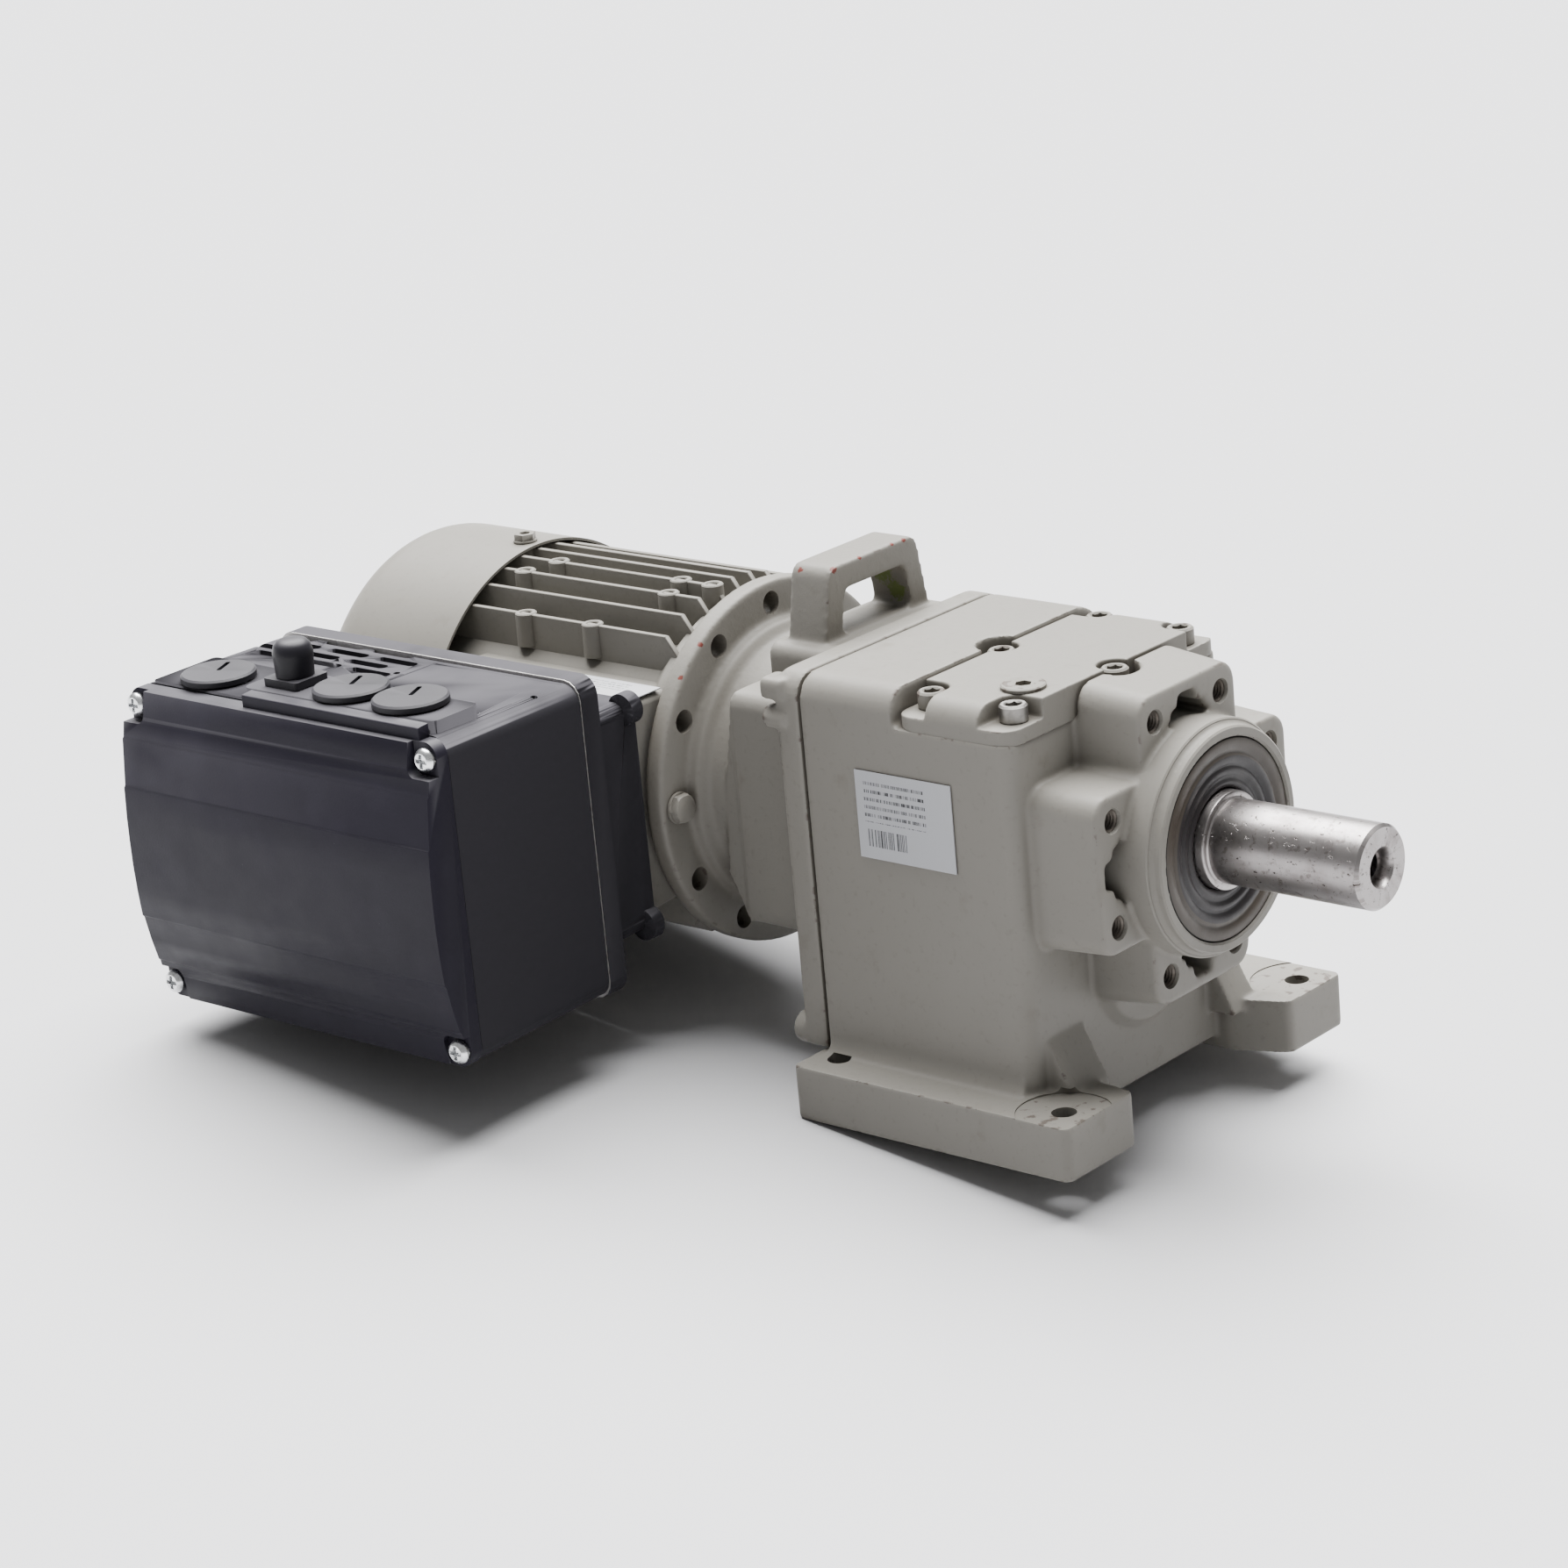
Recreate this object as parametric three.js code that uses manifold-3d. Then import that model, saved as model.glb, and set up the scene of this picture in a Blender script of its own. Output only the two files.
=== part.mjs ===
// Foot-mounted two-stage gearmotor with an inverter on the motor's side.
// Millimetres, +Z up, the output shaft points along +X, the inverter is on the -Y side.
// Every part is drawn in the shaft frame: origin on the shaft axis, in the face of the front spigot.
// At the end everything moves so that the origin is the middle of the four foot holes, at the feet's base.
import * as THREE from 'three';
import { mergeVertices } from 'three/addons/utils/BufferGeometryUtils.js';
import Module from 'manifold-3d';

const wasm = await Module();
wasm.setup();

// ---------- driving dimensions ----------
const clearance = 0.3;            // gap kept between parts that touch in the real machine
const shaftHeight = 100;          // shaft axis above the feet's base
const flatness = 0.02;            // corners that stand out less than this are left out
const footPatternToSpigot = 75;   // from the middle of the foot holes to the spigot face

const gearCase = {
  front: -41, rear: -133, near: -66, far: 57, top: 60.5, bottom: -95,
  nearRadius: 13, farRadius: 20, frontRadius: 5, wall: 6,
};
const foot = {
  outer: 83, rear: -136.5, front: -14.2, height: 20, innerFront: 50, innerRear: 41.5, taperEnd: -36,
  holeX: [-125, -25], holeY: 70, holeRadius: 4.5, cornerRadius: 3,
};
const lobe = {
  face: -14, reach: 56, halfWidth: 28.5, radius: 8, holeCircle: 50, holeRadius: 4, holeDepth: 18,
};
const hub = { radius: 42, spigotRadius: 39.75, step: -4, boreRadius: 36, boreEnd: -29, innerRadius: 27 };
const outputShaft = { radius: 15, end: 62.5, chamfer: 1, collarRadius: 17.5, collarEnd: 1.5 };
const axleDrop = 46;              // the intermediate shaft lies this far below the output shaft
const lowerBoss = { radius: 26, face: -37 };
const web = { front: -90, rear: -106 };          // wall inside the case that carries the rear output bearing
const cover = {
  front: -40.5, rear: -91, near: -65.5, far: 56.5, seat: 47.2, ledge: 52.1, top: 59.4,
  cornerRadius: 7, earRadius: 8.2, nearRound: 10, farRound: 11,
};
const coverScrew = {
  cornerX: 17.7, cornerY: 48.1, edgeX: 24.7, holeRadius: 3.4, headRoom: 6.2,
  headRadius: 5, headHeight: 6, socketRadius: 2.8, shankRadius: 3, shankLength: 16,
};
const oilPlugPlace = [-53.5, -39.5];
const plate = { front: -133.3, rear: -144, bottom: -79.6 };
const flange = { front: -201, rear: -209, radius: 68.7, holeCircle: 60.5, holeRadius: 3.3, holes: 12 };
const handle = {
  front: -150, rear: -167, base: 58, top: 86, baseHalf: 29.5, topHalf: 24.5, radius: 5,
  windowBase: 60, windowTop: 76.5, windowBaseHalf: 19.5, windowTopHalf: 16.5, windowRadius: 4,
};
const motor = { front: -209.3, finFront: -212, finRear: -330, end: -316, tubeRadius: 57, boreRadius: 50.3 };
const fin = { pitch: 9.5, perSide: 4, thickness: 2, tipRadius: 68.4, level: 68, chamfer: 6, root: 45 };
const terminalBase = { front: -211.5, rear: -312, near: -70, far: -38, half: 40.5 };
const fanCover = { front: -316.7, rear: -384, radius: 70, sheet: 1, bend: 16 };
const inverter = {
  middle: -278, halfRear: 76.5, halfFront: 78, halfHeight: 60, neckNear: -72, rimRear: -95,
  seam: -104, bodyFront: -171.5, corner: 7, wall: 4,
};
const inverterScrew = {
  coverX: 73.2, coverZ: 53.6, coverSeat: -177.2, rearX: 68.5, rearZ: 51.5, holeRadius: 2.6,
};
const platform = { rear: -302, front: -207, near: -171.2, far: -147, top: 64.6 };
const plug = { radius: 13.8, height: 3, y: -159, slotLength: 10, slotTurn: 114 };
const vent = { length: 20, width: 4.4, pitch: 25, rows: [-104.5, -111.5, -118.5, -125.5], first: -343 };

// Teeth: both stages share one centre distance. Helix angle is left out, teeth are straight.
const stageOne = { pinion: 12, wheel: 61, front: -111, rear: -127 };
const stageTwo = { pinion: 13, wheel: 54, front: -58, rear: -80 };

const paint = { color: 0xa49d91, roughness: 0.55, metalness: 0.1 };
const steel = { color: 0xb4b2ae, roughness: 0.35, metalness: 0.9 };
const darkSteel = { color: 0x6f7072, roughness: 0.45, metalness: 0.85 };
const zinc = { color: 0xc9cbcc, roughness: 0.3, metalness: 0.9 };
const blackPaint = { color: 0x17171b, roughness: 0.5, metalness: 0.1 };
const blackPlastic = { color: 0x1d1d20, roughness: 0.6, metalness: 0 };
const rubber = { color: 0x29231f, roughness: 0.8, metalness: 0 };
const copper = { color: 0xa8632f, roughness: 0.5, metalness: 0.6 };
const labelWhite = { color: 0xdedfe0, roughness: 0.5, metalness: 0 };
const boardGreen = { color: 0x1f5a38, roughness: 0.6, metalness: 0 };
const labelSheet = { near: clearance, far: 0.7 };   // distances of a label's faces from the face it is on

const group = new THREE.Group();

// ---------- solids ----------
function solid(geometry) {
  const bare = geometry.clone();
  bare.deleteAttribute('normal');
  bare.deleteAttribute('uv');
  const merged = mergeVertices(bare, 1e-4);
  return new wasm.Manifold(new wasm.Mesh({
    numProp: 3,
    vertProperties: new Float32Array(merged.attributes.position.array),
    triVerts: new Uint32Array(merged.index.array),
  }));
}

function geometryOf(body) {
  const mesh = body.getMesh();
  const geometry = new THREE.BufferGeometry();
  geometry.setAttribute('position', new THREE.BufferAttribute(new Float32Array(mesh.vertProperties), 3));
  geometry.setIndex(new THREE.BufferAttribute(new Uint32Array(mesh.triVerts), 1));
  return geometry;
}

function place(name, body, look) {
  const geometry = geometryOf(body.asOriginal().simplify(flatness));
  geometry.translate(footPatternToSpigot, 0, shaftHeight);
  geometry.computeVertexNormals();
  const mesh = new THREE.Mesh(geometry, new THREE.MeshStandardMaterial(look));
  mesh.name = name;
  group.add(mesh);
}

function join(bodies) {
  return bodies.reduce((whole, body) => whole.add(body));
}

function cut(body, tools) {
  return tools.reduce((left, tool) => left.subtract(tool), body);
}

function block(x0, x1, y0, y1, z0, z1) {
  const geometry = new THREE.BoxGeometry(Math.abs(x1 - x0), Math.abs(y1 - y0), Math.abs(z1 - z0));
  geometry.translate((x0 + x1) / 2, (y0 + y1) / 2, (z0 + z1) / 2);
  return solid(geometry);
}

function pushed(shape, length) {
  return new THREE.ExtrudeGeometry(shape, { depth: Math.abs(length), bevelEnabled: false, curveSegments: 2 });
}

// A shape drawn in (y, z) and pushed along x between x0 and x1.
function alongX(shape, x0, x1) {
  const geometry = pushed(shape, x1 - x0);
  geometry.applyMatrix4(new THREE.Matrix4().set(
    0, 0, 1, Math.min(x0, x1),
    1, 0, 0, 0,
    0, 1, 0, 0,
    0, 0, 0, 1,
  ));
  return solid(geometry);
}

// A shape drawn in (x, y) and pushed along z from z0 to z1.
function alongZ(shape, z0, z1) {
  const geometry = pushed(shape, z1 - z0);
  geometry.translate(0, 0, z0);
  return solid(geometry);
}

// A shape drawn in (x, z) and pushed along y from y0 to y1.
function alongY(shape, y0, y1) {
  const geometry = pushed(shape, y1 - y0);
  geometry.rotateX(Math.PI / 2);
  geometry.translate(0, y1, 0);
  return solid(geometry);
}

// A closed profile of [x, radius] pairs, listed either way round, turned about the line (y, z).
function turned(profile, segments = 24, y = 0, z = 0) {
  const points = profile.map(([x, radius]) => new THREE.Vector2(radius, x));
  if (THREE.ShapeUtils.area(points) < 0) points.reverse();
  const geometry = new THREE.LatheGeometry([...points, points[0].clone()], segments);
  geometry.applyMatrix4(new THREE.Matrix4().set(
    0, 1, 0, 0,
    0, 0, 1, y,
    1, 0, 0, z,
    0, 0, 0, 1,
  ));
  return solid(geometry);
}

function disc(x0, x1, radius, segments = 20, y = 0, z = 0) {
  const [low, high] = [Math.min(x0, x1), Math.max(x0, x1)];
  return turned([[low, 0], [low, radius], [high, radius], [high, 0]], segments, y, z);
}

function ring(x0, x1, inner, outer, segments = 20, y = 0, z = 0) {
  const [low, high] = [Math.min(x0, x1), Math.max(x0, x1)];
  return turned([[low, inner], [low, outer], [high, outer], [high, inner]], segments, y, z);
}

function post(x, y, z0, z1, radius, segments = 12) {
  const geometry = new THREE.CylinderGeometry(radius, radius, z1 - z0, segments);
  geometry.rotateX(Math.PI / 2);
  geometry.translate(x, y, (z0 + z1) / 2);
  return solid(geometry);
}

function postAlongY(x, z, y0, y1, radius, segments = 10) {
  const geometry = new THREE.CylinderGeometry(radius, radius, y1 - y0, segments);
  geometry.translate(x, (y0 + y1) / 2, z);
  return solid(geometry);
}

// A closed outline through corners [a, b, radius]; a corner with a radius is rounded by a real arc.
function outline(corners) {
  const shape = new THREE.Shape();
  corners.forEach(([a, b, radius = 0], i) => {
    const here = new THREE.Vector2(a, b);
    const before = new THREE.Vector2(...corners.at(i - 1).slice(0, 2));
    const after = new THREE.Vector2(...corners[(i + 1) % corners.length].slice(0, 2));
    const back = before.sub(here).normalize();
    const ahead = after.sub(here).normalize();
    const halfAngle = Math.acos(THREE.MathUtils.clamp(back.dot(ahead), -1, 1)) / 2;
    const setBack = radius / Math.tan(halfAngle);
    const start = here.clone().addScaledVector(back, setBack);
    if (i === 0) shape.moveTo(start.x, start.y);
    else shape.lineTo(start.x, start.y);
    if (radius === 0) return;
    const inward = back.clone().add(ahead).normalize();
    const centre = here.clone().addScaledVector(inward, radius / Math.sin(halfAngle));
    const stop = here.clone().addScaledVector(ahead, setBack);
    const clockwise = back.cross(ahead) > 0;
    shape.absarc(centre.x, centre.y, radius, Math.atan2(start.y - centre.y, start.x - centre.x),
      Math.atan2(stop.y - centre.y, stop.x - centre.x), clockwise);
  });
  shape.closePath();
  return shape;
}

function roundedRectangle(a0, a1, b0, b1, radius) {
  return outline([[a0, b0, radius], [a1, b0, radius], [a1, b1, radius], [a0, b1, radius]]);
}

// ---------- gear case ----------
// Outline of the case in (y, z); the rear plate repeats it.
function caseOutline(bottom, inset = 0) {
  return outline([
    [gearCase.near + inset, bottom],
    [gearCase.far - inset, bottom],
    [gearCase.far - inset, gearCase.top - inset, gearCase.farRadius - inset],
    [gearCase.near + inset, gearCase.top - inset, gearCase.nearRadius - inset],
  ]);
}

function footBody(side) {
  const base = -shaftHeight;
  const top = base + foot.height;
  const corners = [
    [foot.rear, side * foot.innerRear],
    [foot.taperEnd, side * foot.innerRear],
    [foot.front, side * foot.innerFront, foot.cornerRadius],
    [foot.front, side * foot.outer, foot.cornerRadius],
    [foot.rear, side * foot.outer, foot.cornerRadius],
  ];
  const bar = alongZ(outline(corners), base, top);
  return cut(bar, foot.holeX.map((x) => post(x, side * foot.holeY, base - 1, top + 1, foot.holeRadius)));
}

// Sloping web from the case's front wall down to the foot.
function gusset(side) {
  const profile = outline([[gearCase.front - 2, -60], [gearCase.front - 2, -82], [-27, -82], [-27, -79]]);
  const [y0, y1] = side < 0 ? [-58, -40] : [38, 54];
  return alongY(profile, y0, y1);
}

function lobes() {
  const { reach, halfWidth, radius, face } = lobe;
  const upright = roundedRectangle(-halfWidth, halfWidth, -reach, reach, radius);
  const level = roundedRectangle(-reach, reach, -halfWidth, halfWidth, radius);
  return join([alongX(upright, gearCase.front - 1, face), alongX(level, gearCase.front - 1, face)]);
}

// Cast pocket between the two holes of one lobe, on the side that `turn` points to.
function lobePocket(turn) {
  const shape = outline([[-10, 38], [10, 38], [12, 44], [7, 45.5], [6, 51], [-6, 51], [-7, 45.5], [-12, 44]]);
  const tool = alongX(shape, lobe.face - 17, lobe.face + 1);
  return tool.rotate([turn, 0, 0]);
}

function lobeHoles() {
  const step = Math.PI / 4;
  return Array.from({ length: 8 }, (_, i) => {
    const angle = step * (i + 0.5);
    const y = lobe.holeCircle * Math.cos(angle);
    const z = lobe.holeCircle * Math.sin(angle);
    return disc(lobe.face - lobe.holeDepth, lobe.face + 1, lobe.holeRadius, 10, y, z);
  });
}

function gearHousing() {
  const { front, rear, top, bottom, wall, near, far, frontRadius } = gearCase;
  const plan = outline([[rear, near], [front, near, frontRadius], [front, far, frontRadius], [rear, far]]);
  const walls = alongX(caseOutline(bottom), rear, front).intersect(alongZ(plan, bottom, top));
  const hubBody = turned([
    [front, 0], [front, hub.radius], [hub.step, hub.radius], [hub.step, hub.spigotRadius],
    [-0.8, hub.spigotRadius], [0, hub.spigotRadius - 0.8], [0, 0],
  ], 32);
  const bossBody = disc(front - 4, lowerBoss.face, lowerBoss.radius, 28, 0, -axleDrop);
  const recessOutline = roundedRectangle(near + 12, far - 10, bottom - 1, -30, 6);
  const frontRecess = alongX(recessOutline, front - 4, front + 1);
  const raw = join([
    cut(walls, [frontRecess]), bossBody, footBody(-1), footBody(1), gusset(-1), gusset(1),
    lobes(),
  ]);
  const pocketed = cut(raw, [0, 90, 180, 270].map(lobePocket)).add(hubBody);

  const frontRoom = block(web.front, front - 9, near + wall, far - wall, bottom + wall, cover.seat + 1);
  const rearRoom = alongX(caseOutline(bottom + wall, wall), rear - 1, web.rear);
  const frontRoof = block(web.front - 1, front - 6, near - 1, far + 1, cover.seat - 6, cover.seat + 1);
  const roomUnderRoof = cut(frontRoom, [frontRoof]);
  const coverOpening = block(-80, -46.8, -46.2, 42, cover.seat - 10, cover.seat + 1);
  const coverRecess = block(cover.rear - clearance, front + 1, near - 1, far + 1, cover.seat, top + 1);
  const earRecesses = coverEdgeScrews().map(([x, y]) => (
    post(x, y, cover.seat, top + 1, cover.earRadius + 0.6, 18)
  ));
  const screwHoles = coverScrewPlaces().map(([x, y]) => (
    post(x, y, cover.seat - 12, cover.seat + 1, coverScrew.holeRadius, 8)
  ));
  const outputBore = turned([
    [1, 0], [1, hub.boreRadius], [hub.boreEnd, hub.boreRadius], [hub.boreEnd, hub.innerRadius],
    [front - 10, hub.innerRadius], [front - 10, 0],
  ], 28);
  const rearBearingBore = disc(web.rear - 1, web.front - 2, 23.7);
  const throughWeb = disc(web.rear - 1, web.front + 1, 14.6);
  const axleHole = disc(web.rear - 1, web.front + 1, 14, 16, 0, -axleDrop);
  const axleFrontBore = disc(front - 12, front - 1, 17.8, 20, 0, -axleDrop);
  return cut(pocketed, [
    coverRecess, ...earRecesses, coverOpening, roomUnderRoof, rearRoom, outputBore,
    rearBearingBore, throughWeb, axleHole, axleFrontBore, ...lobeHoles(), ...screwHoles,
  ]);
}

// ---------- top cover, its screws and the oil plug ----------
const coverMiddle = { x: (cover.front + cover.rear) / 2, y: (cover.near + cover.far) / 2 };

function coverCornerScrews() {
  return [-1, 1].flatMap((i) => [-1, 1].map((j) => [
    coverMiddle.x + i * coverScrew.cornerX, coverMiddle.y + j * coverScrew.cornerY,
  ]));
}

function coverEdgeScrews() {
  return [-1, 1].map((i) => [coverMiddle.x + i * coverScrew.edgeX, coverMiddle.y]);
}

function coverScrewPlaces() {
  return [...coverCornerScrews(), ...coverEdgeScrews()];
}

// Room round a corner screw's head, open to both sides of the cover's corner.
function cornerRoom([x, y]) {
  const { ledge, top } = cover;
  const room = coverScrew.headRoom;
  const outX = Math.sign(x - coverMiddle.x);
  const outY = Math.sign(y - coverMiddle.y);
  const [farX, farY] = [x + 20 * outX, y + 20 * outY];
  return join([
    post(x, y, ledge, top + 1, room, 16),
    block(farX, x, farY, y - outY * room, ledge, top + 1),
    block(farX, x - outX * room, farY, y, ledge, top + 1),
  ]);
}

function topCover() {
  const { front, rear, seat, top, ledge, near, far, cornerRadius, earRadius, nearRound, farRound } = cover;
  const low = seat + clearance;
  const section = outline([[near, low], [far, low], [far, top, farRound], [near, top, nearRound]]);
  const plan = roundedRectangle(rear, front, near, far, cornerRadius);
  const slab = alongX(section, rear, front).intersect(alongZ(plan, seat, top));
  const ears = coverEdgeScrews().map(([x, y]) => post(x, y, low, ledge, earRadius, 16));
  const edgeRooms = coverEdgeScrews().map(([x, y]) => post(x, y, ledge, top + 1, coverScrew.headRoom, 16));
  const holes = coverScrewPlaces().map(([x, y]) => post(x, y, seat - 1, ledge + 1, coverScrew.holeRadius, 8));
  const plugHole = post(...oilPlugPlace, seat - 1, top + 1, 6.6, 12);
  const cornerRooms = coverCornerScrews().map(cornerRoom);
  return cut(join([slab, ...ears]), [...cornerRooms, ...edgeRooms, ...holes, plugHole]);
}

function socketScrew(x, y) {
  const { headRadius, headHeight, socketRadius, shankRadius, shankLength } = coverScrew;
  const seat = cover.ledge + clearance;
  const head = post(x, y, seat, seat + headHeight, headRadius, 18);
  const shank = post(x, y, seat - shankLength, seat + 0.5, shankRadius, 8);
  const socket = post(x, y, seat + 2.5, seat + headHeight + 1, socketRadius, 6);
  return cut(head.add(shank), [socket]);
}

function oilPlug() {
  const [x, y] = oilPlugPlace;
  const seat = cover.top + clearance;
  const body = post(x, y, seat, seat + 1.4, 8, 20).add(post(x, y, cover.seat - 2, seat + 0.5, 6.1, 12));
  return cut(body, [post(x, y, seat - 5, seat + 3, 3.2, 6)]);
}

// ---------- adapter housing: rear plate, lifting handle, neck and motor flange ----------
function flangeHolePlaces() {
  const step = (2 * Math.PI) / flange.holes;
  return Array.from({ length: flange.holes }, (_, i) => [
    flange.holeCircle * Math.cos(i * step), flange.holeCircle * Math.sin(i * step),
  ]);
}

function handleBody() {
  const h = handle;
  const outer = outline([[-h.baseHalf, h.base - 6], [h.baseHalf, h.base - 6], [h.topHalf, h.top, h.radius],
    [-h.topHalf, h.top, h.radius]]);
  const inner = outline([[-h.windowBaseHalf, h.windowBase, h.windowRadius],
    [h.windowBaseHalf, h.windowBase, h.windowRadius], [h.windowTopHalf, h.windowTop, h.windowRadius],
    [-h.windowTopHalf, h.windowTop, h.windowRadius]]);
  return cut(alongX(outer, h.rear, h.front), [alongX(inner, h.rear - 1, h.front + 1)]);
}

function adapterHousing() {
  const plateBody = alongX(caseOutline(plate.bottom), plate.rear, plate.front);
  const bell = turned([
    [flange.rear, 0], [flange.rear, flange.radius - 0.5], [flange.rear + 0.5, flange.radius],
    [flange.front - 1, flange.radius], [flange.front, flange.radius - 1], [flange.front, 54.2],
    [-196, 53], [-193, 49], [-170, 47], [plate.rear + 2, 47], [plate.rear + 2, 0],
  ], 40);
  const neckBox = alongX(roundedRectangle(-49.5, 49.5, -46, 43, 6), -177, plate.rear + 2);
  const handleSeat = alongX(roundedRectangle(-35, 35, 36, 58.5, 4), -171, plate.rear + 2);
  const cornerLug = alongX(roundedRectangle(-68.5, -57, 42, 57, 3), -149, plate.rear + 2);
  const lowerLug = disc(plate.rear + 2, -149, 6, 16, -60, -75);
  const axleBoss = disc(plate.rear + 2, -152, 23, 24, 0, -axleDrop);
  const body = join([plateBody, bell, neckBox, handleSeat, handleBody(), cornerLug, lowerLug, axleBoss]);
  const shaftBore = turned([
    [flange.rear - 1, 0], [flange.rear - 1, 30], [-166, 30], [-166, 23.5], [-150, 23.5], [-150, 14],
    [plate.front + 1, 14], [plate.front + 1, 0],
  ], 20);
  const axleBore = disc(-148, plate.front + 1, 17.8, 20, 0, -axleDrop);
  const holes = flangeHolePlaces().map(([y, z]) => (
    disc(flange.rear - 1, flange.front + 1, flange.holeRadius, 8, y, z)
  ));
  return cut(body, [shaftBore, axleBore, ...holes]);
}

function flangeBolt(y, z) {
  const seat = flange.front + clearance;
  const head = disc(seat, seat + 4.2, 5.8, 6, y, z);
  const washer = disc(seat, seat + 1.2, 5.9, 14, y, z);
  const shank = disc(flange.rear - 8, seat + 0.5, 2.9, 8, y, z);
  return join([head, washer, shank]);
}

// ---------- shafts, gears and bearings of the gearbox ----------
// Straight-flanked teeth, cut thin enough to run free at the shared centre distance.
function toothedWheel({ teeth, mate, front, rear, phase, bore = 0, z = 0 }) {
  const pitchRadius = (axleDrop * teeth) / (teeth + mate);
  const module = (2 * pitchRadius) / teeth;
  const tip = pitchRadius + 0.85 * module;
  const root = pitchRadius - 1.15 * module;
  const pitchAngle = (2 * Math.PI) / teeth;
  const shape = new THREE.Shape();
  for (let i = 0; i < teeth; i += 1) {
    const middle = phase + i * pitchAngle;
    const flank = [[root, -0.31], [tip, -0.13], [tip, 0.13], [root, 0.31]];
    flank.forEach(([radius, share], k) => {
      const angle = middle + share * pitchAngle;
      const point = [radius * Math.cos(angle), radius * Math.sin(angle)];
      if (i === 0 && k === 0) shape.moveTo(...point);
      else shape.lineTo(...point);
    });
  }
  shape.closePath();
  const wheel = alongX(shape, rear, front);
  const placed = wheel.translate([0, 0, z]);
  return bore > 0 ? cut(placed, [disc(rear - 1, front + 1, bore, 20, 0, z)]) : placed;
}

function outputShaftBody() {
  const s = outputShaft;
  const body = turned([
    [-104, 0], [-104, 9.7], [-89, 9.7], [-89, 16], [-34, 16], [-34, 20.5], [-29, 20.5],
    [-29, s.collarRadius], [s.collarEnd - 0.8, s.collarRadius], [s.collarEnd, s.collarRadius - 0.8],
    [s.collarEnd, s.radius], [s.end - s.chamfer, s.radius], [s.end, s.radius - s.chamfer], [s.end, 0],
  ], 24);
  const centreHole = turned([
    [s.end - 22, 0], [s.end - 22, 4.2], [s.end - 3.5, 4.2], [s.end + 0.2, 7.5], [s.end + 1, 7.5],
    [s.end + 1, 0],
  ], 12);
  return cut(body, [centreHole]);
}

function shaftSeal() {
  const outer = hub.boreRadius - clearance;
  const inner = outputShaft.collarRadius + clearance;
  return turned([
    [-10, inner + 2], [-10, outer], [-0.6, outer], [-0.6, outer - 2], [-1.4, outer - 2.6], [-1, 21],
    [-2.4, inner], [-4, inner],
  ], 28);
}

function intermediateShaft() {
  const z = -axleDrop;
  const half = 7.5;
  const stem = turned([
    [-146, 0], [-146, half - clearance], [-134, half - clearance], [-134, 9], [stageTwo.rear - 3, 9],
    [stageTwo.rear - 3, 7], [-56, 7], [-56, 9], [-54.5, 9], [-54.5, half - clearance],
    [-43.5, half - clearance], [-43.5, 0],
  ], 16, 0, z);
  const teeth = toothedWheel({
    teeth: stageTwo.pinion, mate: stageTwo.wheel, front: stageTwo.front + 1, rear: stageTwo.rear - 1,
    z, phase: Math.PI / 2,
  });
  return stem.add(teeth);
}

function inputShaft() {
  const stem = turned([
    [-188, 0], [-188, 9.7], [-149, 9.7], [-149, 11.5], [-140, 11.5], [-140, 7.5], [-129, 7.5], [-129, 5],
    [-109, 5], [-109, 0],
  ], 16);
  const phase = -Math.PI / 2 + Math.PI / stageOne.pinion;
  const teeth = toothedWheel({
    teeth: stageOne.pinion, mate: stageOne.wheel, front: stageOne.front + 1, rear: stageOne.rear - 2, phase,
  });
  return stem.add(teeth);
}

// ---------- motor ----------
// One cooling fin as a plate standing on the -X to +X line, chamfered at its front end.
function finPlate(offset, tip, x0, x1) {
  const t = fin.thickness / 2;
  const profile = outline([[x0, fin.root - 12], [x1, fin.root - 12], [x1, tip - 2 * fin.chamfer],
    [x1 - fin.chamfer, tip], [x0, tip]]);
  return alongY(profile, offset - t, offset + t);
}

// Height at which a fin's outer corner reaches the tip circle; the middle fins are cut level.
function finHeight(offset) {
  const outerFace = Math.abs(offset) + fin.thickness / 2;
  return Math.min(Math.sqrt(fin.tipRadius ** 2 - outerFace ** 2), fin.level);
}

function finRow(turn, count) {
  const plates = [];
  for (let i = -count; i <= count; i += 1) {
    const offset = i * fin.pitch;
    plates.push(finPlate(offset, finHeight(offset), motor.finRear, motor.finFront));
  }
  return join(plates).rotate([turn, 0, 0]);
}

// Tapped bosses on the top fins: [x, fin number counted from the middle, -Y negative].
const finBosses = [[-290, -4], [-256, -4], [-307, -2], [-234, -2], [-298, -1], [-236, -1], [-219.5, -1]];

function finBoss([x, number]) {
  const y = number * fin.pitch;
  const top = finHeight(y) + 0.3;
  return post(x, y, 42, top, 4.2, 10);
}

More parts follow.
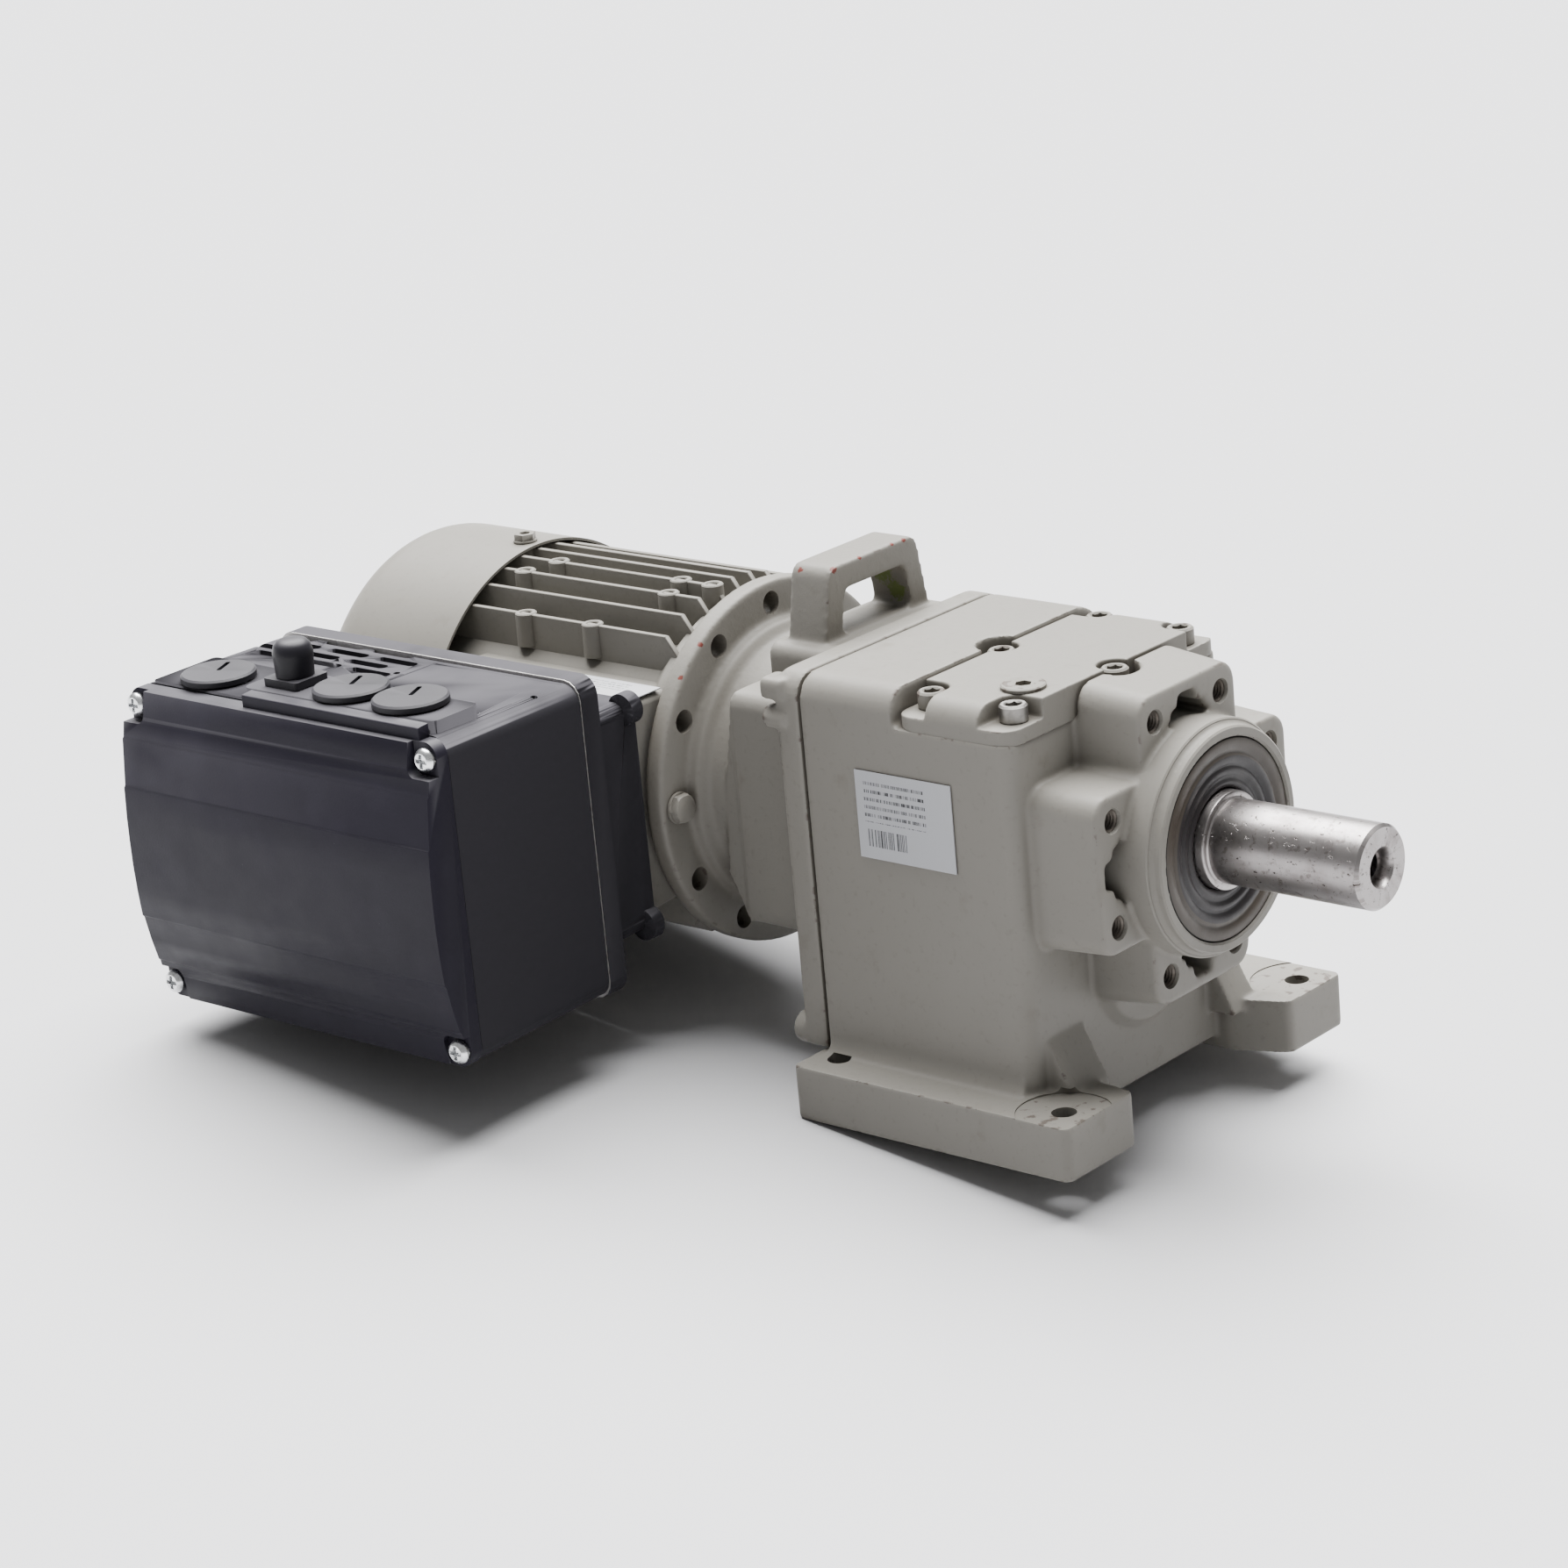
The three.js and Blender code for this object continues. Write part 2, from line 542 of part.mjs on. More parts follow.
function motorHousing() {
  const { front, end, tubeRadius, boreRadius } = motor;
  const shell = turned([
    [end, boreRadius], [end, tubeRadius], [-219, tubeRadius], [-217, 62], [front, 62], [front, 21],
    [-229, 21], [-229, 30], [-223, boreRadius],
  ], 28);
  const far = finRow(-90, fin.perSide - 1);
  const top = finRow(0, fin.perSide);
  const bottom = finRow(180, fin.perSide);
  const t = terminalBase;
  const baseBlock = alongY(roundedRectangle(t.rear, t.front, -t.half, t.half, 3), t.near, t.far);
  const baseRoom = block(t.rear + 8, t.front - 8, t.near - 1, -52, -t.half + 8, t.half - 8);
  const bore = disc(end - 20, -229, boreRadius + 0.6, 28);
  const bearingRoom = disc(-229.5, front + 1, 21.2);
  const rearClear = disc(motor.finRear - 1, end, 60.3, 32);
  const boltHoles = flangeBoltPlaces().map(([y, z]) => disc(front - 12, front + 1, 3.4, 8, y, z));
  const body = join([shell, top, bottom, far, cut(baseBlock, [baseRoom]), ...finBosses.map(finBoss)]);
  const lugRoom = fanCoverScrewAngles.map((angle) => {
    const room = block(motor.finRear - 1, screwX + 5.6, -5.6, 5.6, 50, 75);
    return room.rotate([angle, 0, 0]);
  });
  return cut(body, [bore, bearingRoom, rearClear, ...boltHoles, ...lugRoom]);
}

function flangeBoltPlaces() {
  return flangeHolePlaces().filter((_, i) => i % 4 === 2);
}

function motorRearShield() {
  const x0 = motor.end - clearance;
  const shield = turned([
    [x0 - 18, 8.6], [x0 - 18, 24], [x0 - 10, 26], [x0 - 7, 52], [x0 - 5, 58], [x0, 58], [x0, 20.3],
    [x0 - 14, 20.3], [x0 - 14, 8.6],
  ], 24);
  const lugs = fanCoverScrewAngles.map((angle) => post(x0 - 8, 0, 50, 68, 5, 10).rotate([angle, 0, 0]));
  const holes = fanCoverScrewAngles.map((angle) => post(x0 - 8, 0, 60, 70, 2.6, 8).rotate([angle, 0, 0]));
  return cut(join([shield, ...lugs]), holes);
}

function stator() {
  return turned([
    [-312, 34], [-312, 46], [-299, 46], [-299, 50], [-233, 50], [-233, 46], [-231, 46], [-231, 34],
    [-233, 32.6], [-299, 32.6],
  ], 20);
}

function rotorCore() {
  return turned([
    [-305, 10.4], [-305, 29], [-299, 31.6], [-233, 31.6], [-231, 29], [-231, 10.4],
  ], 20);
}

function rotorShaft() {
  return turned([
    [-368, 0], [-368, 6.5], [-337, 6.5], [-337, 8.2], [-318, 8.2], [-318, 10], [-229.5, 10], [-229.5, 8.2],
    [-190, 8.2], [-190, 0],
  ], 16);
}

function fan() {
  const hubBody = ring(-366, -344, 6.8, 14, 16);
  const backPlate = ring(-347, -344, 12, 40, 20);
  const blades = Array.from({ length: 7 }, (_, i) => {
    const blade = block(-366, -344.5, -1.3, 1.3, 13, 60);
    return blade.rotate([(i * 360) / 7, 0, 0]);
  });
  return join([hubBody, backPlate, ...blades]);
}

const fanCoverScrewAngles = [0, 120, 240];

function fanCoverBody() {
  const { front, rear, radius, sheet, bend } = fanCover;
  const arc = (r, centreRadius) => Array.from({ length: 4 }, (_, i) => {
    const angle = (i / 3) * (Math.PI / 2);
    return [rear + bend - r * Math.sin(angle), centreRadius + r * Math.cos(angle)];
  });
  const corner = radius - bend;
  const outer = arc(bend, corner);
  const inner = arc(bend - sheet, corner).reverse();
  const shell = turned([
    [front, radius - sheet], [front, radius], ...outer, [rear, 0], [rear + sheet, 0], ...inner,
  ], 32);
  const slots = Array.from({ length: 8 }, (_, i) => {
    const slot = block(rear - 1, rear + sheet + 1, -4, 4, 16, 46);
    return slot.rotate([i * 45, 0, 0]);
  });
  const screwHoles = fanCoverScrewAngles.map((angle) => (
    post(screwX, 0, 60, 75, 2.6, 8).rotate([angle, 0, 0])
  ));
  return cut(shell, [...slots, ...screwHoles]);
}

const screwX = motor.end - clearance - 8;

function fanCoverScrew(angle) {
  const seat = fanCover.radius + clearance;
  const head = post(screwX, 0, seat, seat + 3.2, 4.2, 14);
  const shank = post(screwX, 0, seat - 8, seat + 0.5, 2.2, 8);
  const socket = post(screwX, 0, seat + 1.2, seat + 4, 2.2, 6);
  return cut(head.add(shank), [socket]).rotate([angle, 0, 0]);
}

// ---------- inverter ----------
// Four places round the inverter's middle, as [x, z].
function fourCorners(reachX, reachZ) {
  return [-1, 1].flatMap((i) => [-1, 1].map((j) => [inverter.middle + i * reachX, j * reachZ]));
}

const coverScrewCorners = fourCorners(inverterScrew.coverX, inverterScrew.coverZ);
const rearScrewPlaces = fourCorners(inverterScrew.rearX, inverterScrew.rearZ);

// Blanking plugs on top: [x, height of the face each stands on].
const plugPlaces = [[-327.5, inverter.halfHeight + 0.6], [-258.5, platform.top], [-229, platform.top]];
const knobX = -286.5;

function inverterSection(half, inset = 0) {
  const { middle, halfHeight, corner } = inverter;
  const [x, z] = [half - inset, halfHeight - inset];
  return roundedRectangle(middle - x, middle + x, -z, z, corner);
}

function inverterBase() {
  const rim = alongY(inverterSection(inverter.halfRear), inverter.seam + 0.6, inverter.rimRear);
  const neck = alongY(roundedRectangle(-318, -206, -44, 44, 5), inverter.rimRear - 1, inverter.neckNear);
  const lugs = [-316, -208].flatMap((x) => [-41, 41].map((z) => postAlongY(x, z, -77, inverter.neckNear, 6)));
  const room = alongY(roundedRectangle(-306, -218, -34, 34, 4), inverter.seam - 1, inverter.neckNear + 1);
  const holes = rearScrewPlaces.map(([x, z]) => (
    postAlongY(x, z, inverter.seam, inverter.rimRear + 1, inverterScrew.holeRadius, 8)
  ));
  return cut(join([rim, neck, ...lugs]), [room, ...holes]);
}

function inverterGasket() {
  const outer = alongY(inverterSection(inverter.halfRear - 0.2), inverter.seam + 0.1, inverter.seam + 0.5);
  const inner = alongY(inverterSection(inverter.halfRear, 3.6), inverter.seam - 1, inverter.seam + 1);
  return cut(outer, [inner]);
}

// Brick pattern of air slots at the rear left of the top: [x, y] of each slot's middle.
function ventPlaces() {
  return vent.rows.flatMap((y, row) => [0, 1, 2].map((i) => (
    [vent.first + (i + (row % 2) / 3) * vent.pitch, y]
  )));
}

function inverterBody() {
  const { halfHeight, halfRear, halfFront, seam, bodyFront, wall } = inverter;
  const whole = alongY(inverterSection((halfRear + halfFront) / 2), bodyFront, seam - 0.1);
  const room = alongY(inverterSection(halfRear, wall), bodyFront - 1, seam - 1);
  const coverPosts = coverScrewCorners.map(([x, z]) => postAlongY(x, z, bodyFront, bodyFront + 20, 6.5, 8));
  const rearPosts = rearScrewPlaces.map(([x, z]) => postAlongY(x, z, seam - 14, seam - 0.1, 6, 8));
  const posts = join([...coverPosts, ...rearPosts]).intersect(whole);
  const top = alongZ(roundedRectangle(platform.rear, platform.front, platform.near, platform.far, 3),
    halfHeight - 3, platform.top);
  const plugSeat = post(plugPlaces[0][0], plug.y, halfHeight - 3, plugPlaces[0][1], 12.6, 16);

  const screwRadius = inverterScrew.holeRadius;
  const rearHoles = rearScrewPlaces.map(([x, z]) => postAlongY(x, z, seam - 12, seam + 1, screwRadius, 8));
  const coverHoles = coverScrewCorners.map(([x, z]) => (
    postAlongY(x, z, bodyFront - 1, bodyFront + 14, screwRadius, 8)
  ));
  const vents = ventPlaces().map(([x, y]) => block(x - vent.length / 2, x + vent.length / 2,
    y - vent.width / 2, y + vent.width / 2, halfHeight - 6, halfHeight + 1));
  const plugBores = plugPlaces.map(([x]) => post(x, plug.y, halfHeight - 8, platform.top + 1, 8, 12));
  const knobBore = post(knobX, plug.y, halfHeight - 8, platform.top + 1, 4, 8);
  return cut(join([cut(whole, [room]), posts, top, plugSeat]),
    [...rearHoles, ...coverHoles, ...vents, ...plugBores, knobBore]);
}

// Side view of the front cover in (y, z): bowed, with level steps across it.
function inverterCoverSection() {
  const back = inverter.bodyFront - clearance;
  const edge = inverter.halfHeight - 0.4;
  return new THREE.Shape([
    [back, -edge], [back, edge], [-180, edge], [-183.2, 42], [-183.9, 41.4], [-185.6, 24], [-186.2, 23.4],
    [-187.2, 5], [-187, -8], [-185.9, -26], [-185.2, -26.6], [-181.2, -44.6], [-180.5, -45.2], [-178, -edge],
  ].map(([y, z]) => new THREE.Vector2(y, z)));
}

function inverterCover() {
  const { middle, halfFront, halfHeight, bodyFront } = inverter;
  const [rear, front] = [middle - halfFront, middle + halfFront];
  const body = alongX(inverterCoverSection(), rear, front);
  const trim = alongY(roundedRectangle(rear, front, -halfHeight, halfHeight, 6), -200, bodyFront);
  const lipBack = platform.near - clearance;
  const lip = block(platform.rear + 6, platform.front - 1, -177, lipBack, halfHeight - 3, platform.top);
  const notches = coverScrewCorners.map(([x, z]) => {
    const outX = Math.sign(x - middle);
    const outZ = Math.sign(z);
    return block(x - outX * 6, x + outX * 20, -200, inverterScrew.coverSeat, z - outZ * 6, z + outZ * 20);
  });
  const room = block(rear + 6, front - 6, -176, bodyFront + 1, -46, 46);
  const holes = coverScrewCorners.map(([x, z]) => (
    postAlongY(x, z, -190, bodyFront + 1, inverterScrew.holeRadius, 8)
  ));
  return cut(body.intersect(trim).add(lip), [...notches, room, ...holes]);
}

// A pan-head screw lying along y; way is -1 for a head that looks to -Y and 1 for +Y.
function panScrew(x, z, seat, way, length) {
  const points = [[0, 0], [0, 4.3], [2.2, 4.1], [3.3, 2.6], [3.3, 0], [0, 0]];
  const profile = points.map(([height, radius]) => new THREE.Vector2(radius, height));
  const head = new THREE.LatheGeometry(profile, 14);
  if (way < 0) head.rotateX(Math.PI);
  head.translate(x, seat, z);
  const [y0, y1] = way < 0 ? [seat - 0.5, seat + length] : [seat - length, seat + 0.5];
  return solid(head).add(postAlongY(x, z, y0, y1, 2.2, 8));
}

function blankingPlug([x, level]) {
  const seat = level + clearance;
  const top = seat + plug.height;
  const stem = post(x, plug.y, seat - 7, seat + 0.5, 7.6, 10);
  const body = post(x, plug.y, seat, top, plug.radius, 24).add(stem);
  const slot = block(0, plug.slotLength, -0.9, 0.9, top - 1.2, top + 1).rotate([0, 0, plug.slotTurn]);
  return cut(body, [slot.translate([x, plug.y, 0])]);
}

function knobCap() {
  const seat = platform.top + clearance;
  const points = [[0, 0], [6.9, 0], [7.4, 9], [6.6, 12.6], [3.6, 14], [0, 14.3]];
  const dome = new THREE.LatheGeometry([...points, points[0]].map(([r, h]) => new THREE.Vector2(r, h)), 16);
  dome.rotateX(Math.PI / 2);
  dome.translate(knobX, plug.y, seat + 2.5);
  const base = block(knobX - 8.5, knobX + 8.5, plug.y - 8, plug.y + 8, seat, seat + 3);
  return join([solid(dome), base, post(knobX, plug.y, seat - 8, seat + 1, 3.6, 8)]);
}

// ---------- assembly ----------
place('gear_housing', gearHousing(), paint);
place('top_cover', topCover(), paint);
coverScrewPlaces().forEach(([x, y], i) => place(`cover_screw_${i + 1}`, socketScrew(x, y), darkSteel));
place('oil_plug', oilPlug(), paint);
place('adapter_housing', adapterHousing(), paint);
flangeBoltPlaces().forEach(([y, z], i) => place(`flange_bolt_${i + 1}`, flangeBolt(y, z), paint));

place('output_shaft', outputShaftBody(), steel);
place('shaft_seal', shaftSeal(), rubber);
place('output_bearing_front', ring(-28, -11, 17.8, 35.7), darkSteel);
place('output_bearing_rear', ring(-104, -92.5, 10, 23.2), darkSteel);
place('output_gear', toothedWheel({
  teeth: stageTwo.wheel, mate: stageTwo.pinion, front: stageTwo.front, rear: stageTwo.rear, bore: 16.3,
  phase: -Math.PI / 2 + Math.PI / stageTwo.wheel,
}), darkSteel);
place('intermediate_shaft', intermediateShaft(), darkSteel);
place('intermediate_gear', toothedWheel({
  teeth: stageOne.wheel, mate: stageOne.pinion, front: stageOne.front, rear: stageOne.rear, bore: 9.3,
  z: -axleDrop, phase: Math.PI / 2,
}), darkSteel);
place('intermediate_bearing_front', ring(-53, -42.5, 7.5, 17.3, 20, 0, -axleDrop), darkSteel);
place('intermediate_bearing_rear', ring(-147, -136, 7.5, 17.3, 20, 0, -axleDrop), darkSteel);
place('input_shaft', inputShaft(), darkSteel);
place('input_bearing', ring(-164, -150.3, 10, 23.2), darkSteel);
place('shaft_coupling', ring(-205, -172, 10, 19, 28), darkSteel);

place('motor_housing', motorHousing(), paint);
place('motor_rear_shield', motorRearShield(), paint);
place('stator', stator(), copper);
place('rotor_core', rotorCore(), darkSteel);
place('rotor_shaft', rotorShaft(), steel);
place('motor_bearing_front', ring(-227, -216, 8.5, 20.7), darkSteel);
place('motor_bearing_rear', ring(-330, -319, 8.5, 20), darkSteel);
place('fan', fan(), blackPlastic);
place('fan_cover', fanCoverBody(), paint);
fanCoverScrewAngles.forEach((angle, i) => place(`fan_cover_screw_${i + 1}`, fanCoverScrew(angle), paint));

place('inverter_base', inverterBase(), blackPaint);
place('inverter_gasket', inverterGasket(), labelWhite);
place('inverter_body', inverterBody(), blackPaint);
place('inverter_cover', inverterCover(), blackPaint);
coverScrewCorners.forEach(([x, z], i) => {
  place(`inverter_cover_screw_${i + 1}`, panScrew(x, z, inverterScrew.coverSeat - clearance, -1, 15), zinc);
});
rearScrewPlaces.forEach(([x, z], i) => {
  place(`inverter_rear_screw_${i + 1}`, panScrew(x, z, inverter.rimRear + clearance, 1, 18), zinc);
});
plugPlaces.forEach((spot, i) => place(`blanking_plug_${i + 1}`, blankingPlug(spot), blackPlastic));
place('knob_cap', knobCap(), rubber);
place('circuit_board', block(-340, -216, -150, -148.4, -46, 46), boardGreen);

const [typeFace, motorFace] = [gearCase.near, terminalBase.half];
const typePlate = block(-109.5, -67, typeFace - labelSheet.far, typeFace - labelSheet.near, -2, 30);
const motorPlate = block(-253, -212.5, -67, -51, motorFace + labelSheet.near, motorFace + labelSheet.far);
place('type_plate', typePlate, labelWhite);
place('motor_plate', motorPlate, labelWhite);

export default group;
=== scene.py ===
"""Looks of the gearmotor: rounded castings, machined shaft, black inverter, screws, plain studio."""

import math

import bmesh
import bpy
from mathutils import Matrix, Vector


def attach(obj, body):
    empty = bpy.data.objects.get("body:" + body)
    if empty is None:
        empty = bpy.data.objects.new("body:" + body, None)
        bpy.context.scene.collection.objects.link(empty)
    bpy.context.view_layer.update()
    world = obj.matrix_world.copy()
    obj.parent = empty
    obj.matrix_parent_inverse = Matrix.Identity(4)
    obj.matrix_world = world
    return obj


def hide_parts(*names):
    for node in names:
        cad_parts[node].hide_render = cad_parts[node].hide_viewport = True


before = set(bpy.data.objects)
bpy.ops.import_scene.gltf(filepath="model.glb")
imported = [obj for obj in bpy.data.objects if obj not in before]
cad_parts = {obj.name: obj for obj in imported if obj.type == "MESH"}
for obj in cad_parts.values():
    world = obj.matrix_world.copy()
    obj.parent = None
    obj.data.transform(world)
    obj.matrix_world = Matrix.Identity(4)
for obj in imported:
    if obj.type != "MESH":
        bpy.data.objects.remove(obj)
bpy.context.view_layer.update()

MM = 0.001
# Lengths below are millimetres from the centre of the gear case's front spigot, as in the part's source.
SPIGOT = Vector((75, 0, 100))
ARC_STEP = math.radians(7.5)
MERGE = 1e-7  # metres: corners closer than this become one


# ---------- solids ----------
def real(point):
    return (Vector(point) + SPIGOT) * MM


def rounded(corners):
    """Closed outline through (a, b, radius) corners, each rounded by an arc."""
    points = []
    for i, corner in enumerate(corners):
        here, radius = Vector(corner[:2]), corner[2] if len(corner) > 2 else 0
        back = (Vector(corners[i - 1][:2]) - here).normalized()
        ahead = (Vector(corners[(i + 1) % len(corners)][:2]) - here).normalized()
        if radius == 0:
            points.append(tuple(here))
            continue
        half = math.acos(max(-1, min(1, back.dot(ahead)))) / 2
        centre = here + (back + ahead).normalized() * (radius / math.sin(half))
        start = here + back * (radius / math.tan(half)) - centre
        stop = here + ahead * (radius / math.tan(half)) - centre
        sweep = start.angle_signed(stop)
        steps = max(2, round(abs(sweep) / ARC_STEP))
        for k in range(steps + 1):
            turned = start.copy()
            turned.rotate(Matrix.Rotation(-sweep * k / steps, 2))
            points.append(tuple(centre + turned))
    return points


def rectangle(a0, a1, b0, b1, radius):
    return rounded([(a0, b0, radius), (a1, b0, radius), (a1, b1, radius), (a0, b1, radius)])


def circle(a, b, radius, count=48):
    turns = [2 * math.pi * k / count for k in range(count)]
    return [(a + radius * math.cos(t), b + radius * math.sin(t)) for t in turns]


def finish_mesh(name, bm):
    bmesh.ops.remove_doubles(bm, verts=bm.verts, dist=MERGE)
    bmesh.ops.recalc_face_normals(bm, faces=bm.faces)
    mesh = bpy.data.meshes.new(name)
    bm.to_mesh(mesh)
    bm.free()
    made = bpy.data.objects.new(name, mesh)
    bpy.context.scene.collection.objects.link(made)
    return made


def placed(axis, along, a, b):
    """The point at a distance along one axis and at (a, b) across the other two."""
    return {"x": (along, a, b), "y": (a, along, b), "z": (a, b, along)}[axis]


def prism(outline, axis, low, high, high_scale=1.0, centre=(0, 0)):
    """An outline pushed along an axis; high_scale shrinks or widens its far end about a centre."""
    bm = bmesh.new()
    near = [bm.verts.new(real(placed(axis, low, a, b))) for a, b in outline]
    ca, cb = centre
    scaled = [(ca + (a - ca) * high_scale, cb + (b - cb) * high_scale) for a, b in outline]
    far = [bm.verts.new(real(placed(axis, high, a, b))) for a, b in scaled]
    count = len(outline)
    bm.faces.new(near)
    bm.faces.new(far)
    for i in range(count):
        j = (i + 1) % count
        bm.faces.new((near[i], near[j], far[j], far[i]))
    return finish_mesh("prism", bm)


def lathe(profile, axis="x", centre=(0, 0), steps=96):
    """A closed profile of (distance along the axis, radius) turned about the axis through centre."""
    bm = bmesh.new()
    rings = []
    for k in range(steps):
        turn = 2 * math.pi * k / steps
        ring = []
        for h, r in profile:
            a, b = centre[0] + r * math.cos(turn), centre[1] + r * math.sin(turn)
            ring.append(bm.verts.new(real(placed(axis, h, a, b))))
        rings.append(ring)
    for k in range(steps):
        here, there = rings[k], rings[(k + 1) % steps]
        for i in range(len(profile)):
            j = (i + 1) % len(profile)
            if profile[i][1] == 0 and profile[j][1] == 0:
                continue
            bm.faces.new((here[i], here[j], there[j], there[i]))
    bmesh.ops.remove_doubles(bm, verts=bm.verts, dist=MERGE)
    bmesh.ops.dissolve_degenerate(bm, edges=bm.edges, dist=MERGE / 10)
    return finish_mesh("lathe", bm)


def block(x0, x1, y0, y1, z0, z1):
    return prism([(x0, y0), (x1, y0), (x1, y1), (x0, y1)], "z", z0, z1)


def rod(axis, a, b, low, high, radius, steps=48):
    return lathe([(low, 0), (low, radius), (high, radius), (high, 0)], axis, (a, b), steps)


def turn_about_shaft(thing, degrees):
    centre = real((0, 0, 0))
    spin = Matrix.Translation(centre) @ Matrix.Rotation(math.radians(degrees), 4, "X")
    thing.data.transform(spin @ Matrix.Translation(-centre))
    return thing


def bake(thing):
    depsgraph = bpy.context.evaluated_depsgraph_get()
    mesh = bpy.data.meshes.new_from_object(thing.evaluated_get(depsgraph))
    thing.modifiers.clear()
    thing.data = mesh
    return thing


def combine(base, joins=(), cuts=(), keeps=()):
    """Joins, trims and cuts a base solid with others, which are used up."""
    tools = [(tool, "UNION") for tool in joins]
    tools += [(tool, "INTERSECT") for tool in keeps]
    tools += [(tool, "DIFFERENCE") for tool in cuts]
    for tool, operation in tools:
        step = base.modifiers.new("step", "BOOLEAN")
        step.object = tool
        step.operation = operation
        step.solver = "MANIFOLD"
    bake(base)
    for tool, _ in tools:
        bpy.data.objects.remove(tool)
    return base


def cast_skin(thing, voxel, passes, factor=0.5):
    """Rounds every edge the way a sand casting and its paint do."""
    remesh = thing.modifiers.new("skin", "REMESH")
    remesh.mode = "VOXEL"
    remesh.voxel_size = voxel * MM
    remesh.use_smooth_shade = True
    smooth = thing.modifiers.new("round", "SMOOTH")
    smooth.factor = factor
    smooth.iterations = passes
    return bake(thing)


def smooth_shaded(thing, angle=32):
    thing.data.shade_smooth()
    thing.data.set_sharp_from_angle(angle=math.radians(angle))
    return thing


def soft_edges(thing, width, segments=3, angle=32):
    bevel = thing.modifiers.new("edges", "BEVEL")
    bevel.width = width * MM
    bevel.segments = segments
    bevel.limit_method = "ANGLE"
    bevel.angle_limit = math.radians(angle)
    bevel.harden_normals = True
    return smooth_shaded(bake(thing), angle)


def piece(thing, name, look, nodes=(), body="base"):
    thing.name = name
    thing.data.name = name
    thing.data.materials.clear()
    thing.data.materials.append(look)
    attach(thing, body)
    if nodes:
        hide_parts(*nodes)
    return thing


# ---------- finishes ----------
class Finish:
    """A small builder for procedural materials in the part's own coordinates."""

    def __init__(self, name, color, roughness, metallic=0.0):
        self.material = bpy.data.materials.new(name)
        self.material.use_nodes = True
        self.nodes = self.material.node_tree.nodes
        self.links = self.material.node_tree.links
        self.bsdf = self.nodes["Principled BSDF"]
        self.bsdf.inputs["Metallic"].default_value = metallic
        self.bsdf.inputs["Roughness"].default_value = roughness
        self.coordinates = self.nodes.new("ShaderNodeTexCoord").outputs["Object"]
        self.color = None
        self.base = (*color, 1)
        self.height = None

    def noise(self, scale, detail=4, vector=None, rough=0.55):
        node = self.nodes.new("ShaderNodeTexNoise")
        node.inputs["Scale"].default_value = scale
        node.inputs["Detail"].default_value = detail
        node.inputs["Roughness"].default_value = rough
        self.links.new(vector or self.coordinates, node.inputs["Vector"])
        return node.outputs["Fac"]

    def axis_value(self, axis):
        split = self.nodes.new("ShaderNodeSeparateXYZ")
        self.links.new(self.coordinates, split.inputs[0])
        return split.outputs[axis]

    def point_on_plane(self, x, y=None):
        node = self.nodes.new("ShaderNodeCombineXYZ")
        self.links.new(x, node.inputs["X"])
        if y is not None:
            self.links.new(y, node.inputs["Y"])
        return node.outputs[0]

    def height_over_shaft(self):
        return self.math("SUBTRACT", self.axis_value("Z"), SPIGOT.z * MM)

    def shaft_radius(self):
        rise = self.math("POWER", self.height_over_shaft(), 2)
        aside = self.math("POWER", self.axis_value("Y"), 2)
        return self.math("SQRT", self.math("ADD", rise, aside))

    def around_shaft(self, along, round_about):
        """Coordinates that follow the shaft: distance along and out from it, and the angle round it."""
        angle = self.math("ARCTAN2", self.height_over_shaft(), self.axis_value("Y"))
        distance = self.math("ADD", self.axis_value("X"), self.shaft_radius())
        x = self.math("MULTIPLY", distance, along)
        return self.point_on_plane(x, self.math("MULTIPLY", angle, round_about))

    def math(self, operation, first, second=None, clamp=False):
        node = self.nodes.new("ShaderNodeMath")
        node.operation = operation
        node.use_clamp = clamp
        for socket, value in zip(node.inputs, (first, second)):
            if value is None:
                continue
            if isinstance(value, (int, float)):
                socket.default_value = value
            else:
                self.links.new(value, socket)
        return node.outputs[0]

    def band(self, value, low, high, invert=False):
        """0 below low, 1 above high, a smooth slope between; invert swaps them."""
        node = self.nodes.new("ShaderNodeMapRange")
        node.interpolation_type = "SMOOTHSTEP"
        self.links.new(value, node.inputs["Value"])
        node.inputs["From Min"].default_value = low
        node.inputs["From Max"].default_value = high
        node.inputs["To Min"].default_value = 1.0 if invert else 0.0
        node.inputs["To Max"].default_value = 0.0 if invert else 1.0
        return node.outputs["Result"]

    def between(self, value, low, high):
        """1 between two values, 0 outside them."""
        above = self.math("GREATER_THAN", value, low)
        return self.math("MULTIPLY", above, self.math("LESS_THAN", value, high))

    def near_point(self, point, reach):
        """1 at a point of the part, falling to 0 at reach millimetres, with a ragged edge."""
        node = self.nodes.new("ShaderNodeVectorMath")
        node.operation = "DISTANCE"
        self.links.new(self.coordinates, node.inputs[0])
        node.inputs[1].default_value = real(point)
        reach = reach * MM
        ragged = self.math("MULTIPLY", self.noise(900, 3), reach * 1.2)
        return self.band(self.math("ADD", node.outputs["Value"], ragged), reach, reach * 1.25, True)

    def edges(self, low, high):
        geometry = self.nodes.new("ShaderNodeNewGeometry")
        return self.band(geometry.outputs["Pointiness"], low, high)

    def upward(self):
        geometry = self.nodes.new("ShaderNodeNewGeometry")
        split = self.nodes.new("ShaderNodeSeparateXYZ")
        self.links.new(geometry.outputs["Normal"], split.inputs[0])
        return self.band(split.outputs["Z"], 0.3, 1.0)

    def shade_in_hollows(self, distance):
        # Ambient occlusion mask, 1 deep in corners and hollows: used to paint shade there.
        node = self.nodes.new("ShaderNodeAmbientOcclusion")
        node.samples = 6
        node.inputs["Distance"].default_value = distance * MM
        return self.band(node.outputs["AO"], 0.25, 0.95, True)

